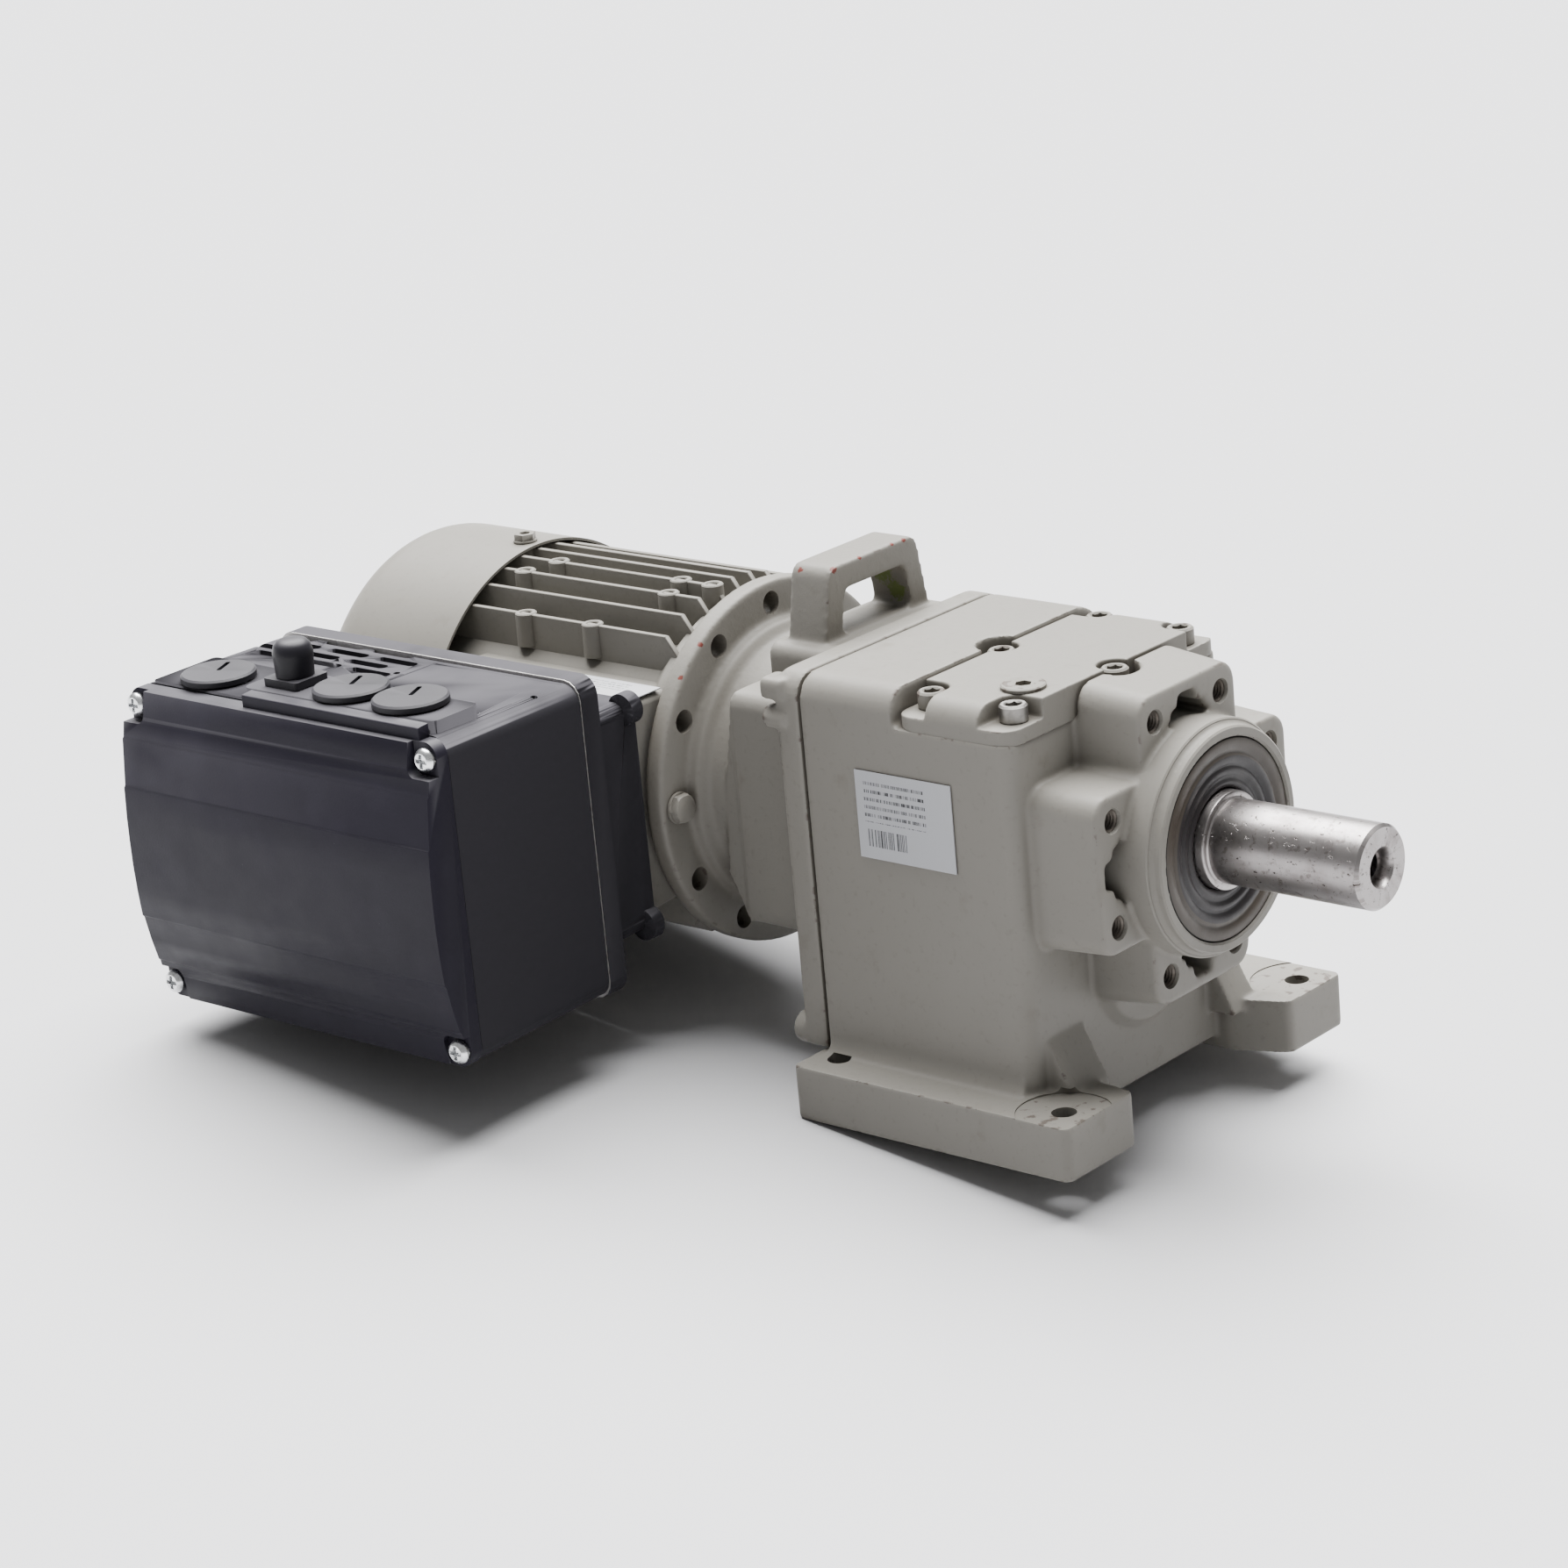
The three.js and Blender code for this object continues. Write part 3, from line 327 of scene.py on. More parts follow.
    def tint(self, mask, color, strength=1.0):
        mix = self.nodes.new("ShaderNodeMix")
        mix.data_type = "RGBA"
        amount = self.math("MULTIPLY", mask, strength, clamp=True)
        self.links.new(amount, mix.inputs["Factor"])
        if self.color is None:
            mix.inputs["A"].default_value = self.base
        else:
            self.links.new(self.color, mix.inputs["A"])
        mix.inputs["B"].default_value = (*color, 1)
        self.color = mix.outputs["Result"]
        return self

    def rough(self, value, low, high):
        node = self.nodes.new("ShaderNodeMapRange")
        self.links.new(value, node.inputs["Value"])
        node.inputs["To Min"].default_value = low
        node.inputs["To Max"].default_value = high
        self.links.new(node.outputs["Result"], self.bsdf.inputs["Roughness"])
        return self

    def bump(self, value, depth, strength=1.0):
        node = self.nodes.new("ShaderNodeBump")
        node.inputs["Distance"].default_value = depth * MM
        node.inputs["Strength"].default_value = strength
        self.links.new(value, node.inputs["Height"])
        if self.height is not None:
            self.links.new(self.height, node.inputs["Normal"])
        self.height = node.outputs["Normal"]
        return self

    def done(self):
        if self.color is None:
            self.tint(self.noise(60), self.base[:3])
        self.links.new(self.color, self.bsdf.inputs["Base Color"])
        if self.height is not None:
            self.links.new(self.height, self.bsdf.inputs["Normal"])
        return self.material


PAINT = (0.168, 0.160, 0.142)
PAINT_LIGHT = (0.183, 0.174, 0.155)
PAINT_GRAIN = (0.134, 0.125, 0.107)
PAINT_STAIN = (0.118, 0.105, 0.084)
PAINT_SPECK = (0.10, 0.085, 0.07)
RUBBED_IRON = (0.06, 0.045, 0.038)
GREEN_OVERSPRAY = (0.085, 0.115, 0.02)
PRIMER = (0.13, 0.035, 0.028)
HOLLOW_SHADE = (0.06, 0.05, 0.037)
# Colour of the painted shade in corners and hollows.
LABEL_INK = (0.012, 0.012, 0.015)


def grey_paint(name, grain, chips=(), overspray=(), shade_reach=6, rub=(0.52, 0.55)):
    """Grey enamel with painted shade darkening its corners and hollows out to a reach in millimetres; rub
    is how sharp an edge has to be to be worn.
    """
    f = Finish(name, PAINT, 0.5)
    f.bsdf.inputs["Specular IOR Level"].default_value = 0.15
    f.tint(f.noise(14, 3), PAINT_LIGHT, 0.7)
    f.tint(f.band(f.noise(420, 5), 0.55, 0.75), PAINT_GRAIN, 0.4)
    f.tint(f.band(f.noise(70, 6), 0.6, 0.78), PAINT_STAIN, 0.4)
    # Painted shade: corners and hollows darkened by ambient occlusion.
    f.tint(f.shade_in_hollows(shade_reach), HOLLOW_SHADE, 0.6)
    rubbed = f.math("MULTIPLY", f.edges(*rub), f.band(f.noise(210, 4), 0.56, 0.62))
    f.tint(rubbed, RUBBED_IRON, 0.75)
    f.tint(f.band(f.noise(1300, 2), 0.77, 0.8), PAINT_SPECK, 0.7)
    for point, reach in overspray:
        f.tint(f.near_point(point, reach), GREEN_OVERSPRAY, 0.85)
    for point, reach in chips:
        f.tint(f.near_point(point, reach), PRIMER)
    f.rough(f.noise(160, 4), 0.38, 0.58)
    f.bump(f.noise(420, 5), grain)
    f.bump(f.noise(60, 3), grain * 1.6, 0.6)
    return f.done()


def turned_steel(name):
    f = Finish(name, (0.33, 0.31, 0.305), 0.3, 1.0)
    rings = f.noise(1, 3, f.around_shaft(6000, 0.4))
    f.tint(rings, (0.25, 0.235, 0.23), 0.6)
    patches = f.noise(1, 5, f.around_shaft(70, 1.6), 0.6)
    f.tint(f.band(patches, 0.45, 0.72), (0.15, 0.13, 0.125), 0.6)
    stains = f.noise(1, 5, f.around_shaft(260, 3.2), 0.65)
    f.tint(f.band(stains, 0.54, 0.68), (0.10, 0.083, 0.075), 0.7)
    pits = f.noise(1, 4, f.around_shaft(330, 7.5), 0.72)
    marks = f.band(pits, 0.615, 0.645)
    f.tint(marks, (0.03, 0.022, 0.018), 0.95)
    worn = f.math("ADD", f.math("MULTIPLY", rings, 0.5), f.math("MULTIPLY", stains, 0.5))
    f.rough(worn, 0.18, 0.5)
    f.bump(rings, 0.012)
    f.bump(marks, -0.05)
    return f.done()


def plain_metal(name, color, roughness, grain=0.02):
    f = Finish(name, color, roughness, 1.0)
    f.tint(f.band(f.noise(500, 4), 0.4, 0.8), tuple(c * 0.55 for c in color), 0.6)
    f.rough(f.noise(300, 4), roughness * 0.8, roughness * 1.4)
    f.bump(f.noise(900, 3), grain)
    return f.done()


def black_coat(name, color, dust_and_sheen, shine=0.25):
    f = Finish(name, color, 0.42)
    f.bsdf.inputs["Specular IOR Level"].default_value = shine
    f.tint(f.band(f.noise(40, 5), 0.45, 0.8), tuple(c * 1.35 for c in color), 0.6)
    # Upward faces lighter: real dust, and a painted sheen of the overhead light.
    top_dust_and_sheen = f.math("MULTIPLY", f.upward(), f.band(f.noise(30, 2), 0.1, 0.55))
    f.tint(top_dust_and_sheen, (0.098, 0.095, 0.103), dust_and_sheen)
    # Sharp edges and steps lighter: painted highlight.
    f.tint(f.edges(0.535, 0.62), (0.06, 0.058, 0.065), 0.4)
    f.tint(f.band(f.noise(1500, 2), 0.79, 0.82), (0.2, 0.19, 0.19), 0.5)
    f.rough(f.noise(90, 5), 0.34, 0.54)
    f.bump(f.noise(1500, 3), 0.03)
    return f.done()


def seal_rubber(name):
    f = Finish(name, (0.015, 0.0125, 0.013), 0.45)
    f.bsdf.inputs["Specular IOR Level"].default_value = 0.3
    radius = f.shaft_radius()
    f.tint(f.band(radius, 29.0 * MM, 29.6 * MM), (0.045, 0.036, 0.027), 0.9)
    f.tint(f.band(f.noise(1, 4, f.around_shaft(50, 2.5)), 0.55, 0.75), (0.05, 0.04, 0.03), 0.25)
    f.tint(f.band(f.noise(500, 4), 0.6, 0.75), (0.06, 0.05, 0.04), 0.25)
    f.tint(f.band(radius, 35.35 * MM, 35.5 * MM), (0.006, 0.005, 0.004))
    f.rough(f.noise(200, 4), 0.34, 0.6)
    f.bump(f.noise(900, 4), 0.04)
    return f.done()


def printed_label(name, across, up, left, bottom, width, height, rows):
    """White foil with rows of unreadable small print and a bar pattern; no letters or marks."""
    f = Finish(name, (0.34, 0.345, 0.36), 0.45)
    u = f.math("DIVIDE", f.math("SUBTRACT", f.axis_value(across), left * MM), width * MM)
    v = f.math("DIVIDE", f.math("SUBTRACT", f.axis_value(up), bottom * MM), height * MM)
    lines = f.math("MULTIPLY", v, rows)
    strip = f.point_on_plane(f.math("MULTIPLY", u, 95), f.math("MULTIPLY", f.math("FLOOR", lines), 7.3))
    marks = f.math("GREATER_THAN", f.noise(1.6, 1, strip), 0.5)
    small_print = f.math("MULTIPLY", marks, f.between(f.math("FRACT", lines), 0.3, 0.72))
    print_area = f.math("MULTIPLY", f.between(u, 0.08, 0.72), f.between(v, 0.42, 0.9))
    f.tint(f.math("MULTIPLY", small_print, print_area), LABEL_INK)
    bars = f.math("GREATER_THAN", f.noise(1.0, 0, f.point_on_plane(f.math("MULTIPLY", u, 130))), 0.5)
    bar_area = f.math("MULTIPLY", f.between(u, 0.1, 0.5), f.between(v, 0.14, 0.34))
    f.tint(f.math("MULTIPLY", bars, bar_area), LABEL_INK)
    f.tint(f.band(f.noise(150, 4), 0.5, 0.8), (0.32, 0.32, 0.31), 0.3)
    f.bump(f.noise(400, 3), 0.02)
    return f.done()


def green_board(name):
    f = Finish(name, (0.02, 0.14, 0.06), 0.5)
    f.tint(f.band(f.noise(300, 3), 0.5, 0.6), (0.03, 0.2, 0.09), 0.6)
    return f.done()


# Spots of paint damage as (place, reach).
handle_chips = [
    ((-164, -24.5, 84.3), 2.3), ((-150.5, -21.5, 84.6), 2.4), ((-150.5, -7, 85.5), 1.7),
    ((-150.5, 11.5, 85.5), 1.6), ((-150.5, 18, 85.2), 2.0),
]
flange_chips = [((-201.5, -39.5, 55.5), 2.2), ((-202.5, -50.5, 46), 1.9)]
overspray = [((-161, 18, 72.5), 8), ((-156, 18.5, 66), 7)]
SHARP_ONLY = (0.7, 0.8)

case_paint = grey_paint("case_paint", 0.05)
adapter_paint = grey_paint("adapter_paint", 0.13, handle_chips + flange_chips, overspray, 20)
motor_paint = grey_paint("motor_paint", 0.05, shade_reach=2, rub=SHARP_ONLY)
hood_paint = grey_paint("hood_paint", 0.012, rub=SHARP_ONLY)
shaft_steel = turned_steel("shaft_steel")
gear_steel = plain_metal("gear_steel", (0.33, 0.33, 0.34), 0.35)
worn_steel = plain_metal("worn_steel", (0.25, 0.24, 0.225), 0.42)
zinc = plain_metal("zinc", (0.78, 0.79, 0.80), 0.24)
copper = plain_metal("copper", (0.5, 0.22, 0.10), 0.4)
black_body = black_coat("black_body", (0.0018, 0.0015, 0.0028), 0.75, 0.01)
black_cover = black_coat("black_cover", (0.0120, 0.0108, 0.0165), 0.6, 0.1)
black_part = black_coat("black_part", (0.007, 0.0065, 0.009), 0.3, 0.2)
rubber = seal_rubber("rubber")
type_print = printed_label("type_print", "X", "Z", -34.5, 98, 42.5, 32, 11)
motor_print = printed_label("motor_print", "X", "Y", -178, -67, 40.5, 16, 8)
thread_steel = plain_metal("thread_steel", (0.13, 0.115, 0.10), 0.55)
board_green = green_board("board")

# ---------- gear case ----------
NEAR, FAR, TOP, FRONT, REAR = -66, 57, 60.5, -41, -133
WALL_ROUND = 6
FOOT_BACK, FOOT_FRONT, FOOT_INNER, FOOT_OUTER, FOOT_TOP, SOLE = -136.5, -14.2, 41.5, 83, -80, -100
FOOT_HOLES = [(x, y) for x in (-125, -25) for y in (-70, 70)]
LOBE_FACE, LOBE_HALF, LOBE_REACH = -14, 28, 56
INTERMEDIATE_AXIS = -46
TAPPED_CIRCLE, THREAD_PITCH = 50, 1.25
SPIGOT_BORE = 36
SEAT, LEDGE, COVER_TOP, ABOVE = 47.2, 52.1, 59.4, 62
COVER_X, COVER_Y = -65.75, -4.5
CORNER_SCREWS = [(COVER_X + 17.7 * i, COVER_Y + 48.1 * j) for i in (-1, 1) for j in (-1, 1)]
EDGE_SCREWS = [(COVER_X + 24.7 * i, COVER_Y) for i in (-1, 1)]
EAR, HEAD_ROOM = 8.2, 6.3


def ring_place(radius, turn):
    return radius * math.cos(turn), radius * math.sin(turn)


def case_outline(bottom):
    return rounded([(NEAR, bottom, 2), (FAR, bottom, 2), (FAR, TOP, 17), (NEAR, TOP, 9.5)])


def foot(side):
    inner_corner = 44 if side < 0 else 50
    outline = rounded([
        (FOOT_BACK, side * FOOT_INNER), (-36, side * FOOT_INNER), (FOOT_FRONT, side * inner_corner, 3.5),
        (FOOT_FRONT, side * FOOT_OUTER, 3), (FOOT_BACK, side * FOOT_OUTER, 3),
    ])
    return prism(outline, "z", SOLE, FOOT_TOP)


def foot_fillet(side):
    """Hollow round between the case's side wall and the foot."""
    wall, reach, low = (NEAR if side < 0 else FAR), 7, FOOT_TOP - 1
    turns = [math.pi / 2 * k / 8 for k in range(9)]
    arc = [(wall + side * reach * (1 - math.cos(t)), low + reach * (1 - math.sin(t))) for t in turns]
    corner = (wall - side * 2, low - 2)
    outline = [(corner[0], arc[0][1]), *arc, (arc[-1][0], corner[1]), corner]
    return prism(outline, "x", REAR + 0.5, FRONT - 3)


def ramp(side):
    """Slope from the front wall down to the foot."""
    y0, y1 = (-57, -36.5) if side < 0 else (36.5, 52)
    outline = [(FRONT - 3, -60), (FRONT + 0.3, -62), (-31, -79.5), (-29.5, -84), (FRONT - 3, -84)]
    return prism(outline, "y", y0, y1)


def lobe_pair():
    half, reach = LOBE_HALF, LOBE_REACH
    upright = prism(rectangle(-half, half, -reach, reach, 8), "x", LOBE_FACE, FRONT - 4, 1.06)
    level = prism(rectangle(-reach, reach, -half - 0.5, half + 0.5, 8), "x", LOBE_FACE, FRONT - 4, 1.045)
    return [upright, level]


def lobe_pocket(turn):
    one_side = [(11, 37), (12.5, 42), (9.5, 43.5), (9, 46.5), (5.5, 47), (4.8, 51.5)]
    outline = one_side + [(-a, b) for a, b in reversed(one_side)]
    return turn_about_shaft(prism(outline, "x", LOBE_FACE - 20, LOBE_FACE + 1), turn)


def tapped_hole(y, z):
    profile = [(-33, 0), (-33, 4), (-15.4, 4), (-13.2, 4.9), (-12, 4.9), (-12, 0)]
    return lathe(profile, "x", (y, z), 32)


def thread_liner(y, z):
    """Ring grooves that stand in for a tapped hole's thread, and the hole's dark bottom."""
    rings = [(-15.4 - THREAD_PITCH * k / 2, 3.95 if k % 2 == 0 else 3.35) for k in range(22)]
    return lathe([(-15.2, 3.98), *rings, (-29.2, 0), (-32.8, 0), (-32.8, 3.98)], "x", (y, z), 40)


case = prism(case_outline(-95), "x", REAR + 0.4, FRONT)
walls = rounded([(-140, NEAR), (FRONT, NEAR, WALL_ROUND), (FRONT, FAR, WALL_ROUND), (-140, FAR)])
combine(case, keeps=[prism(walls, "z", -99, 66)])
boss_profile = [(-46, 0), (-46, 31), (-41.5, 30), (-38.8, 27.2), (-37, 25.8), (-37, 0)]
boss = lathe(boss_profile, "x", (0, INTERMEDIATE_AXIS))
feet = [foot(-1), foot(1), foot_fillet(-1), foot_fillet(1), ramp(-1), ramp(1)]
combine(case, joins=[boss, *feet, *lobe_pair()])
combine(case, cuts=[lobe_pocket(turn) for turn in (0, 90, 180, 270)])
hub = lathe([(-46, 0), (-46, 43), (-14, 42), (-4.2, 42), (-4.2, 39.8), (-0.2, 39.8), (-0.2, 0)], steps=144)
combine(case, joins=[hub])
recess = [block(-91.6, -39.6, -70, 62, SEAT, ABOVE)]
recess += [rod("z", x, y, SEAT, ABOVE, EAR + 0.7) for x, y in EDGE_SCREWS]
combine(case, cuts=recess)
seal_room = lathe([(-10.5, 0), (-10.5, SPIGOT_BORE), (1, SPIGOT_BORE), (1, 0)], steps=144)
combine(case, cuts=[seal_room])
cast_skin(case, 0.9, 5)
thread_places = [ring_place(TAPPED_CIRCLE, math.pi / 4 * (i + 0.5)) for i in range(8)]
holes = [tapped_hole(y, z) for y, z in thread_places]
holes += [rod("z", x, y, SOLE - 1, FOOT_TOP + 1, 4.5, 32) for x, y in FOOT_HOLES]
holes += [rod("z", x, y, FOOT_TOP - 0.4, FOOT_TOP + 2, 17, 64) for x, y in FOOT_HOLES if x == -25]
combine(case, cuts=holes)
piece(smooth_shaded(case, 40), "case_casting", case_paint, ["gear_housing"])

liners = thread_liner(*thread_places[0])
combine(liners, joins=[thread_liner(y, z) for y, z in thread_places[1:]])
piece(smooth_shaded(liners, 20), "tapped_holes", thread_steel)

spigot_profile = [
    (-14, 36.05), (-14, 42.05), (-4.7, 42.05), (-4.2, 41.5), (-4.2, 39.85), (-0.6, 39.85), (0, 39.2),
    (0, 36.9), (-0.7, 36.05),
]
piece(smooth_shaded(lathe(spigot_profile, steps=160)), "spigot_rim", hood_paint)


# ---------- top cover ----------
def corner_room(x, y):
    """Room round a corner screw's head, open to both sides of the cover's corner."""
    out_x, out_y = math.copysign(1, x - COVER_X), math.copysign(1, y - COVER_Y)
    beyond_x, beyond_y = x + out_x * 14, y + out_y * 24
    across = block(*sorted((x, beyond_x)), *sorted((y - out_y * HEAD_ROOM, beyond_y)), LEDGE, ABOVE)
    along = block(*sorted((x - out_x * HEAD_ROOM, beyond_x)), *sorted((y, beyond_y)), LEDGE, ABOVE)
    return [across, along, rod("z", x, y, LEDGE, ABOVE, HEAD_ROOM)]


def hex_socket(x, y, corner_radius, low, high):
    return prism(circle(x, y, corner_radius, 6), "z", low, high)


def cap_screw(x, y, look, number):
    base, top = LEDGE + 0.1, LEDGE + 6.2
    profile = [(base, 0), (base, 4.8), (base + 0.3, 5), (top - 0.7, 5), (top, 4.3), (top, 0)]
    head = lathe(profile, "z", (x, y), 48)
    socket = hex_socket(x, y, 3.1, top - 5, top + 1)
    mouth_profile = [(top - 0.7, 0), (top - 0.7, 2.6), (top + 0.1, 3.4), (top + 1, 3.4), (top + 1, 0)]
    shank = rod("z", x, y, 37, base + 0.2, 3, 24)
    combine(head, [shank], [socket, lathe(mouth_profile, "z", (x, y), 32)])
    piece(smooth_shaded(head), f"cap_screw_{number}", look, [f"cover_screw_{number}"])


cover_base = SEAT - 0.7
cover_outline = rounded([(-65.5, 30), (56.4, 30), (56.4, COVER_TOP, 16), (-65.5, COVER_TOP, 8.5)])
cover = prism(cover_outline, "x", -91, -40.5)
combine(cover, keeps=[prism(rectangle(-91, -40.5, -65.5, 56.4, 7.5), "z", cover_base, 66)])
combine(cover, joins=[rod("z", x, y, cover_base, LEDGE, EAR) for x, y in EDGE_SCREWS])
rooms = [tool for x, y in CORNER_SCREWS for tool in corner_room(x, y)]
rooms += [rod("z", x, y, LEDGE, ABOVE, HEAD_ROOM) for x, y in EDGE_SCREWS]
combine(cover, cuts=rooms)
cast_skin(cover, 0.5, 4)
piece(cover, "case_cover", case_paint, ["top_cover"])

bare_screw = CORNER_SCREWS[2]
for number, (x, y) in enumerate(CORNER_SCREWS + EDGE_SCREWS, 1):
    cap_screw(x, y, worn_steel if (x, y) == bare_screw else case_paint, number)

OIL_PLUG = (-53.5, -39.5)
oil_profile = [(46, 0), (46, 6), (59.5, 6), (59.5, 7.9), (60.5, 8), (60.9, 7.5), (60.9, 0)]
oil_plug = lathe(oil_profile, "z", OIL_PLUG, 56)
combine(oil_plug, cuts=[hex_socket(*OIL_PLUG, 3.1, 56, 63)])
piece(smooth_shaded(oil_plug), "oil_filler_plug", case_paint, ["oil_plug"])

# ---------- adapter housing ----------
FLANGE_REAR, FLANGE_FRONT, BOLT_CIRCLE, BOLT_STEP = -209, -201, 60.5, math.pi / 6
BOLTED = (2, 6, 10)


def handle_outline(half_low, half_high, low, high, radius, radius_low=0.0):
    return rounded([
        (-half_low, low, radius_low), (half_low, low, radius_low),
        (half_high, high, radius), (-half_high, high, radius),
    ])


def hex_bolt(turn, number):
    y, z = ring_place(BOLT_CIRCLE, turn)
    seat = FLANGE_FRONT + 0.4
    head = prism(circle(y, z, 5.7, 6), "x", seat + 0.4, seat + 4)
    crown_profile = [(seat, 0), (seat, 6.2), (-199.2, 6.2), (seat + 4, 5.0), (-196.2, 4.4), (-196.2, 0)]
    combine(head, keeps=[lathe(crown_profile, "x", (y, z), 48)])
    washer = rod("x", y, z, seat, -199.5, 5.9)
    combine(head, [washer, rod("x", y, z, -216, -199.9, 2.9, 24)])
    soft_edges(head, 0.25, 2)
    piece(head, f"hex_bolt_{number}", adapter_paint, [f"flange_bolt_{number}"])


adapter = prism(case_outline(-79.6), "x", -144, -133.8)
handle = prism(handle_outline(31, 24.5, 50, 86, 5.5), "x", -168, -150)
window = prism(handle_outline(19.6, 16.3, 60, 76.5, 4, 3), "x", -175, -145)
bell_profile = [
    (FLANGE_REAR, 0), (FLANGE_REAR, 68.2), (FLANGE_REAR + 0.6, 68.7), (FLANGE_FRONT - 0.8, 68.7),
    (FLANGE_FRONT, 67.8), (FLANGE_FRONT, 54.5), (-197, 53.6), (-194.5, 49.6), (-186, 48), (-170, 47),
    (-140, 47), (-140, 0),
]
bell = lathe(bell_profile, steps=144)
neck_box = prism(rectangle(-49.5, 49.5, -46, 43, 6), "x", -181, -140)
neck_wedge = prism([(-181, -46), (-181, 43), (-187, 10), (-190, -27)], "y", -48.5, 48.5)
saddle = prism(rectangle(-36, 36, 34, 58.8, 5), "x", -172, -140)
corner_lug = prism(rectangle(-67.4, -56, 50, 58, 2.5), "x", -150, -140)
lower_lug = rod("x", -60, -75, -150, -140, 6)
axle_boss = rod("x", 0, INTERMEDIATE_AXIS, -152, -140, 23)
side_lug = prism(circle(-63.5, 43.5, 4.6, 6), "x", -149.5, -140)
lugs = [corner_lug, lower_lug, axle_boss, side_lug]
combine(adapter, [handle, bell, neck_box, neck_wedge, saddle, *lugs], [window])
cast_skin(adapter, 0.95, 5)
flange_holes = []
for i in range(12):
    y, z = ring_place(BOLT_CIRCLE, BOLT_STEP * i)
    radius = 3.2 if i in BOLTED else 4.4
    flange_holes.append(rod("x", y, z, FLANGE_REAR - 3, FLANGE_FRONT + 1, radius, 32))
combine(adapter, cuts=flange_holes)
piece(smooth_shaded(adapter, 40), "adapter_casting", adapter_paint, ["adapter_housing"])

for number, i in enumerate(BOLTED, 1):
    hex_bolt(BOLT_STEP * i, number)

# ---------- motor ----------
FIN_TIP, FIN_LEVEL, FIN_PITCH, FIN_ROOT = 68.6, 68.2, 9.5, 42
BARREL_REAR, FIN_END, FIN_SLOPE_END = -330, -212, -219
THIRDS = (0, 120, 240)
POSTS = [(-290, -4), (-256, -4), (-307, -2), (-234, -2), (-298, -1), (-236, -1), (-220.5, -1)]
LUG_X = -324.3
TERMINAL_X = -262


def fin_top(offset):
    return min(math.sqrt(FIN_TIP ** 2 - (abs(offset) + 1.3) ** 2), FIN_LEVEL)


def fin(offset, turn):
    top = fin_top(offset)
    outline = [
        (BARREL_REAR, FIN_ROOT), (FIN_END, FIN_ROOT), (FIN_END, top - 9.5), (FIN_SLOPE_END, top),
        (BARREL_REAR, top),
    ]
    thin = prism(outline, "y", offset - 1.1, offset + 1.1)
    soft_edges(thin, 0.45, 2)
    return turn_about_shaft(thin, turn)


def bossed_post(x, fin_number):
    """A hollow boss grown into a top fin."""
    y = fin_number * FIN_PITCH
    top = fin_top(y) + 0.4
    profile = [
        (44, 0), (44, 4.3), (top - 0.4, 4.1), (top, 3.7), (top, 2.5), (top - 0.5, 2.1), (top - 9, 2.1),
        (top - 9, 0),
    ]
    return smooth_shaded(lathe(profile, "z", (x, y), 32))


def join_meshes(things, name):
    bm = bmesh.new()
    for thing in things:
        bm.from_mesh(thing.data)
    mesh = bpy.data.meshes.new(name)
    bm.to_mesh(mesh)
    bm.free()
    for thing in things:
        bpy.data.objects.remove(thing)
    made = bpy.data.objects.new(name, mesh)
    bpy.context.scene.collection.objects.link(made)
    return made


def hood_profile(radius, rear, bend, sheet, front=-317):
    def bend_arc(r):
        turns = [math.pi / 2 * k / 12 for k in range(13)]
        return [(rear + bend - r * math.sin(t), radius - bend + r * math.cos(t)) for t in turns]
    outer = [(front, radius), *bend_arc(bend), (rear, 0)]
    inner = [(front, radius - sheet), *bend_arc(bend - sheet), (rear + sheet, 0)]
    return outer + inner[::-1]


def hood_screw(turn, number):
    head = prism(circle(LUG_X, 0, 4.3, 6), "z", 70.1, 73.4)
    collar = rod("z", LUG_X, 0, 70.05, 70.9, 4.6, 32)
    shank = rod("z", LUG_X, 0, 62, 70.2, 2.2, 24)
    combine(head, [collar, shank], [hex_socket(LUG_X, 0, 2.2, 71.4, 75)])
    soft_edges(head, 0.25, 2)
    turn_about_shaft(head, turn)
    piece(head, f"hood_screw_{number}", hood_paint, [f"fan_cover_screw_{number}"])


barrel_profile = [
    (BARREL_REAR, 50), (BARREL_REAR, 58), (-222, 58), (-217, 62.4), (-209.4, 62.4), (-209.4, 20),
    (-213, 20), (-213, 50),
]
barrel = soft_edges(lathe(barrel_profile, steps=144), 0.6, 2)
fins = [fin(i * FIN_PITCH, 0) for i in range(-4, 5)]
fins += [fin(i * FIN_PITCH, 180) for i in range(-4, 5)]
fins += [fin(i * FIN_PITCH, -90) for i in range(-3, 4)]
posts = [bossed_post(x, fin_number) for x, fin_number in POSTS]
skirt = prism(rectangle(-312, -211.5, -40.5, 40.5, 3), "y", -71, -38, 0.97, (TERMINAL_X, 0))
soft_edges(skirt, 1.2, 3)
motor = join_meshes([barrel, skirt, *fins, *posts], "motor_casting")
piece(motor, "motor_casting", motor_paint, ["motor_housing"])

shield_profile = [
    (-334.3, 8.6), (-334.3, 24), (-326.3, 26), (-323.3, 52), (-321.3, 58), (-316.3, 58), (-316.3, 20.3),
    (-330.3, 20.3), (-330.3, 8.6),
]
shield = lathe(shield_profile)
combine(shield, [turn_about_shaft(rod("z", LUG_X, 0, 50, 68, 5, 32), turn) for turn in THIRDS])
piece(soft_edges(shield, 0.4, 2), "rear_shield", motor_paint, ["motor_rear_shield"])

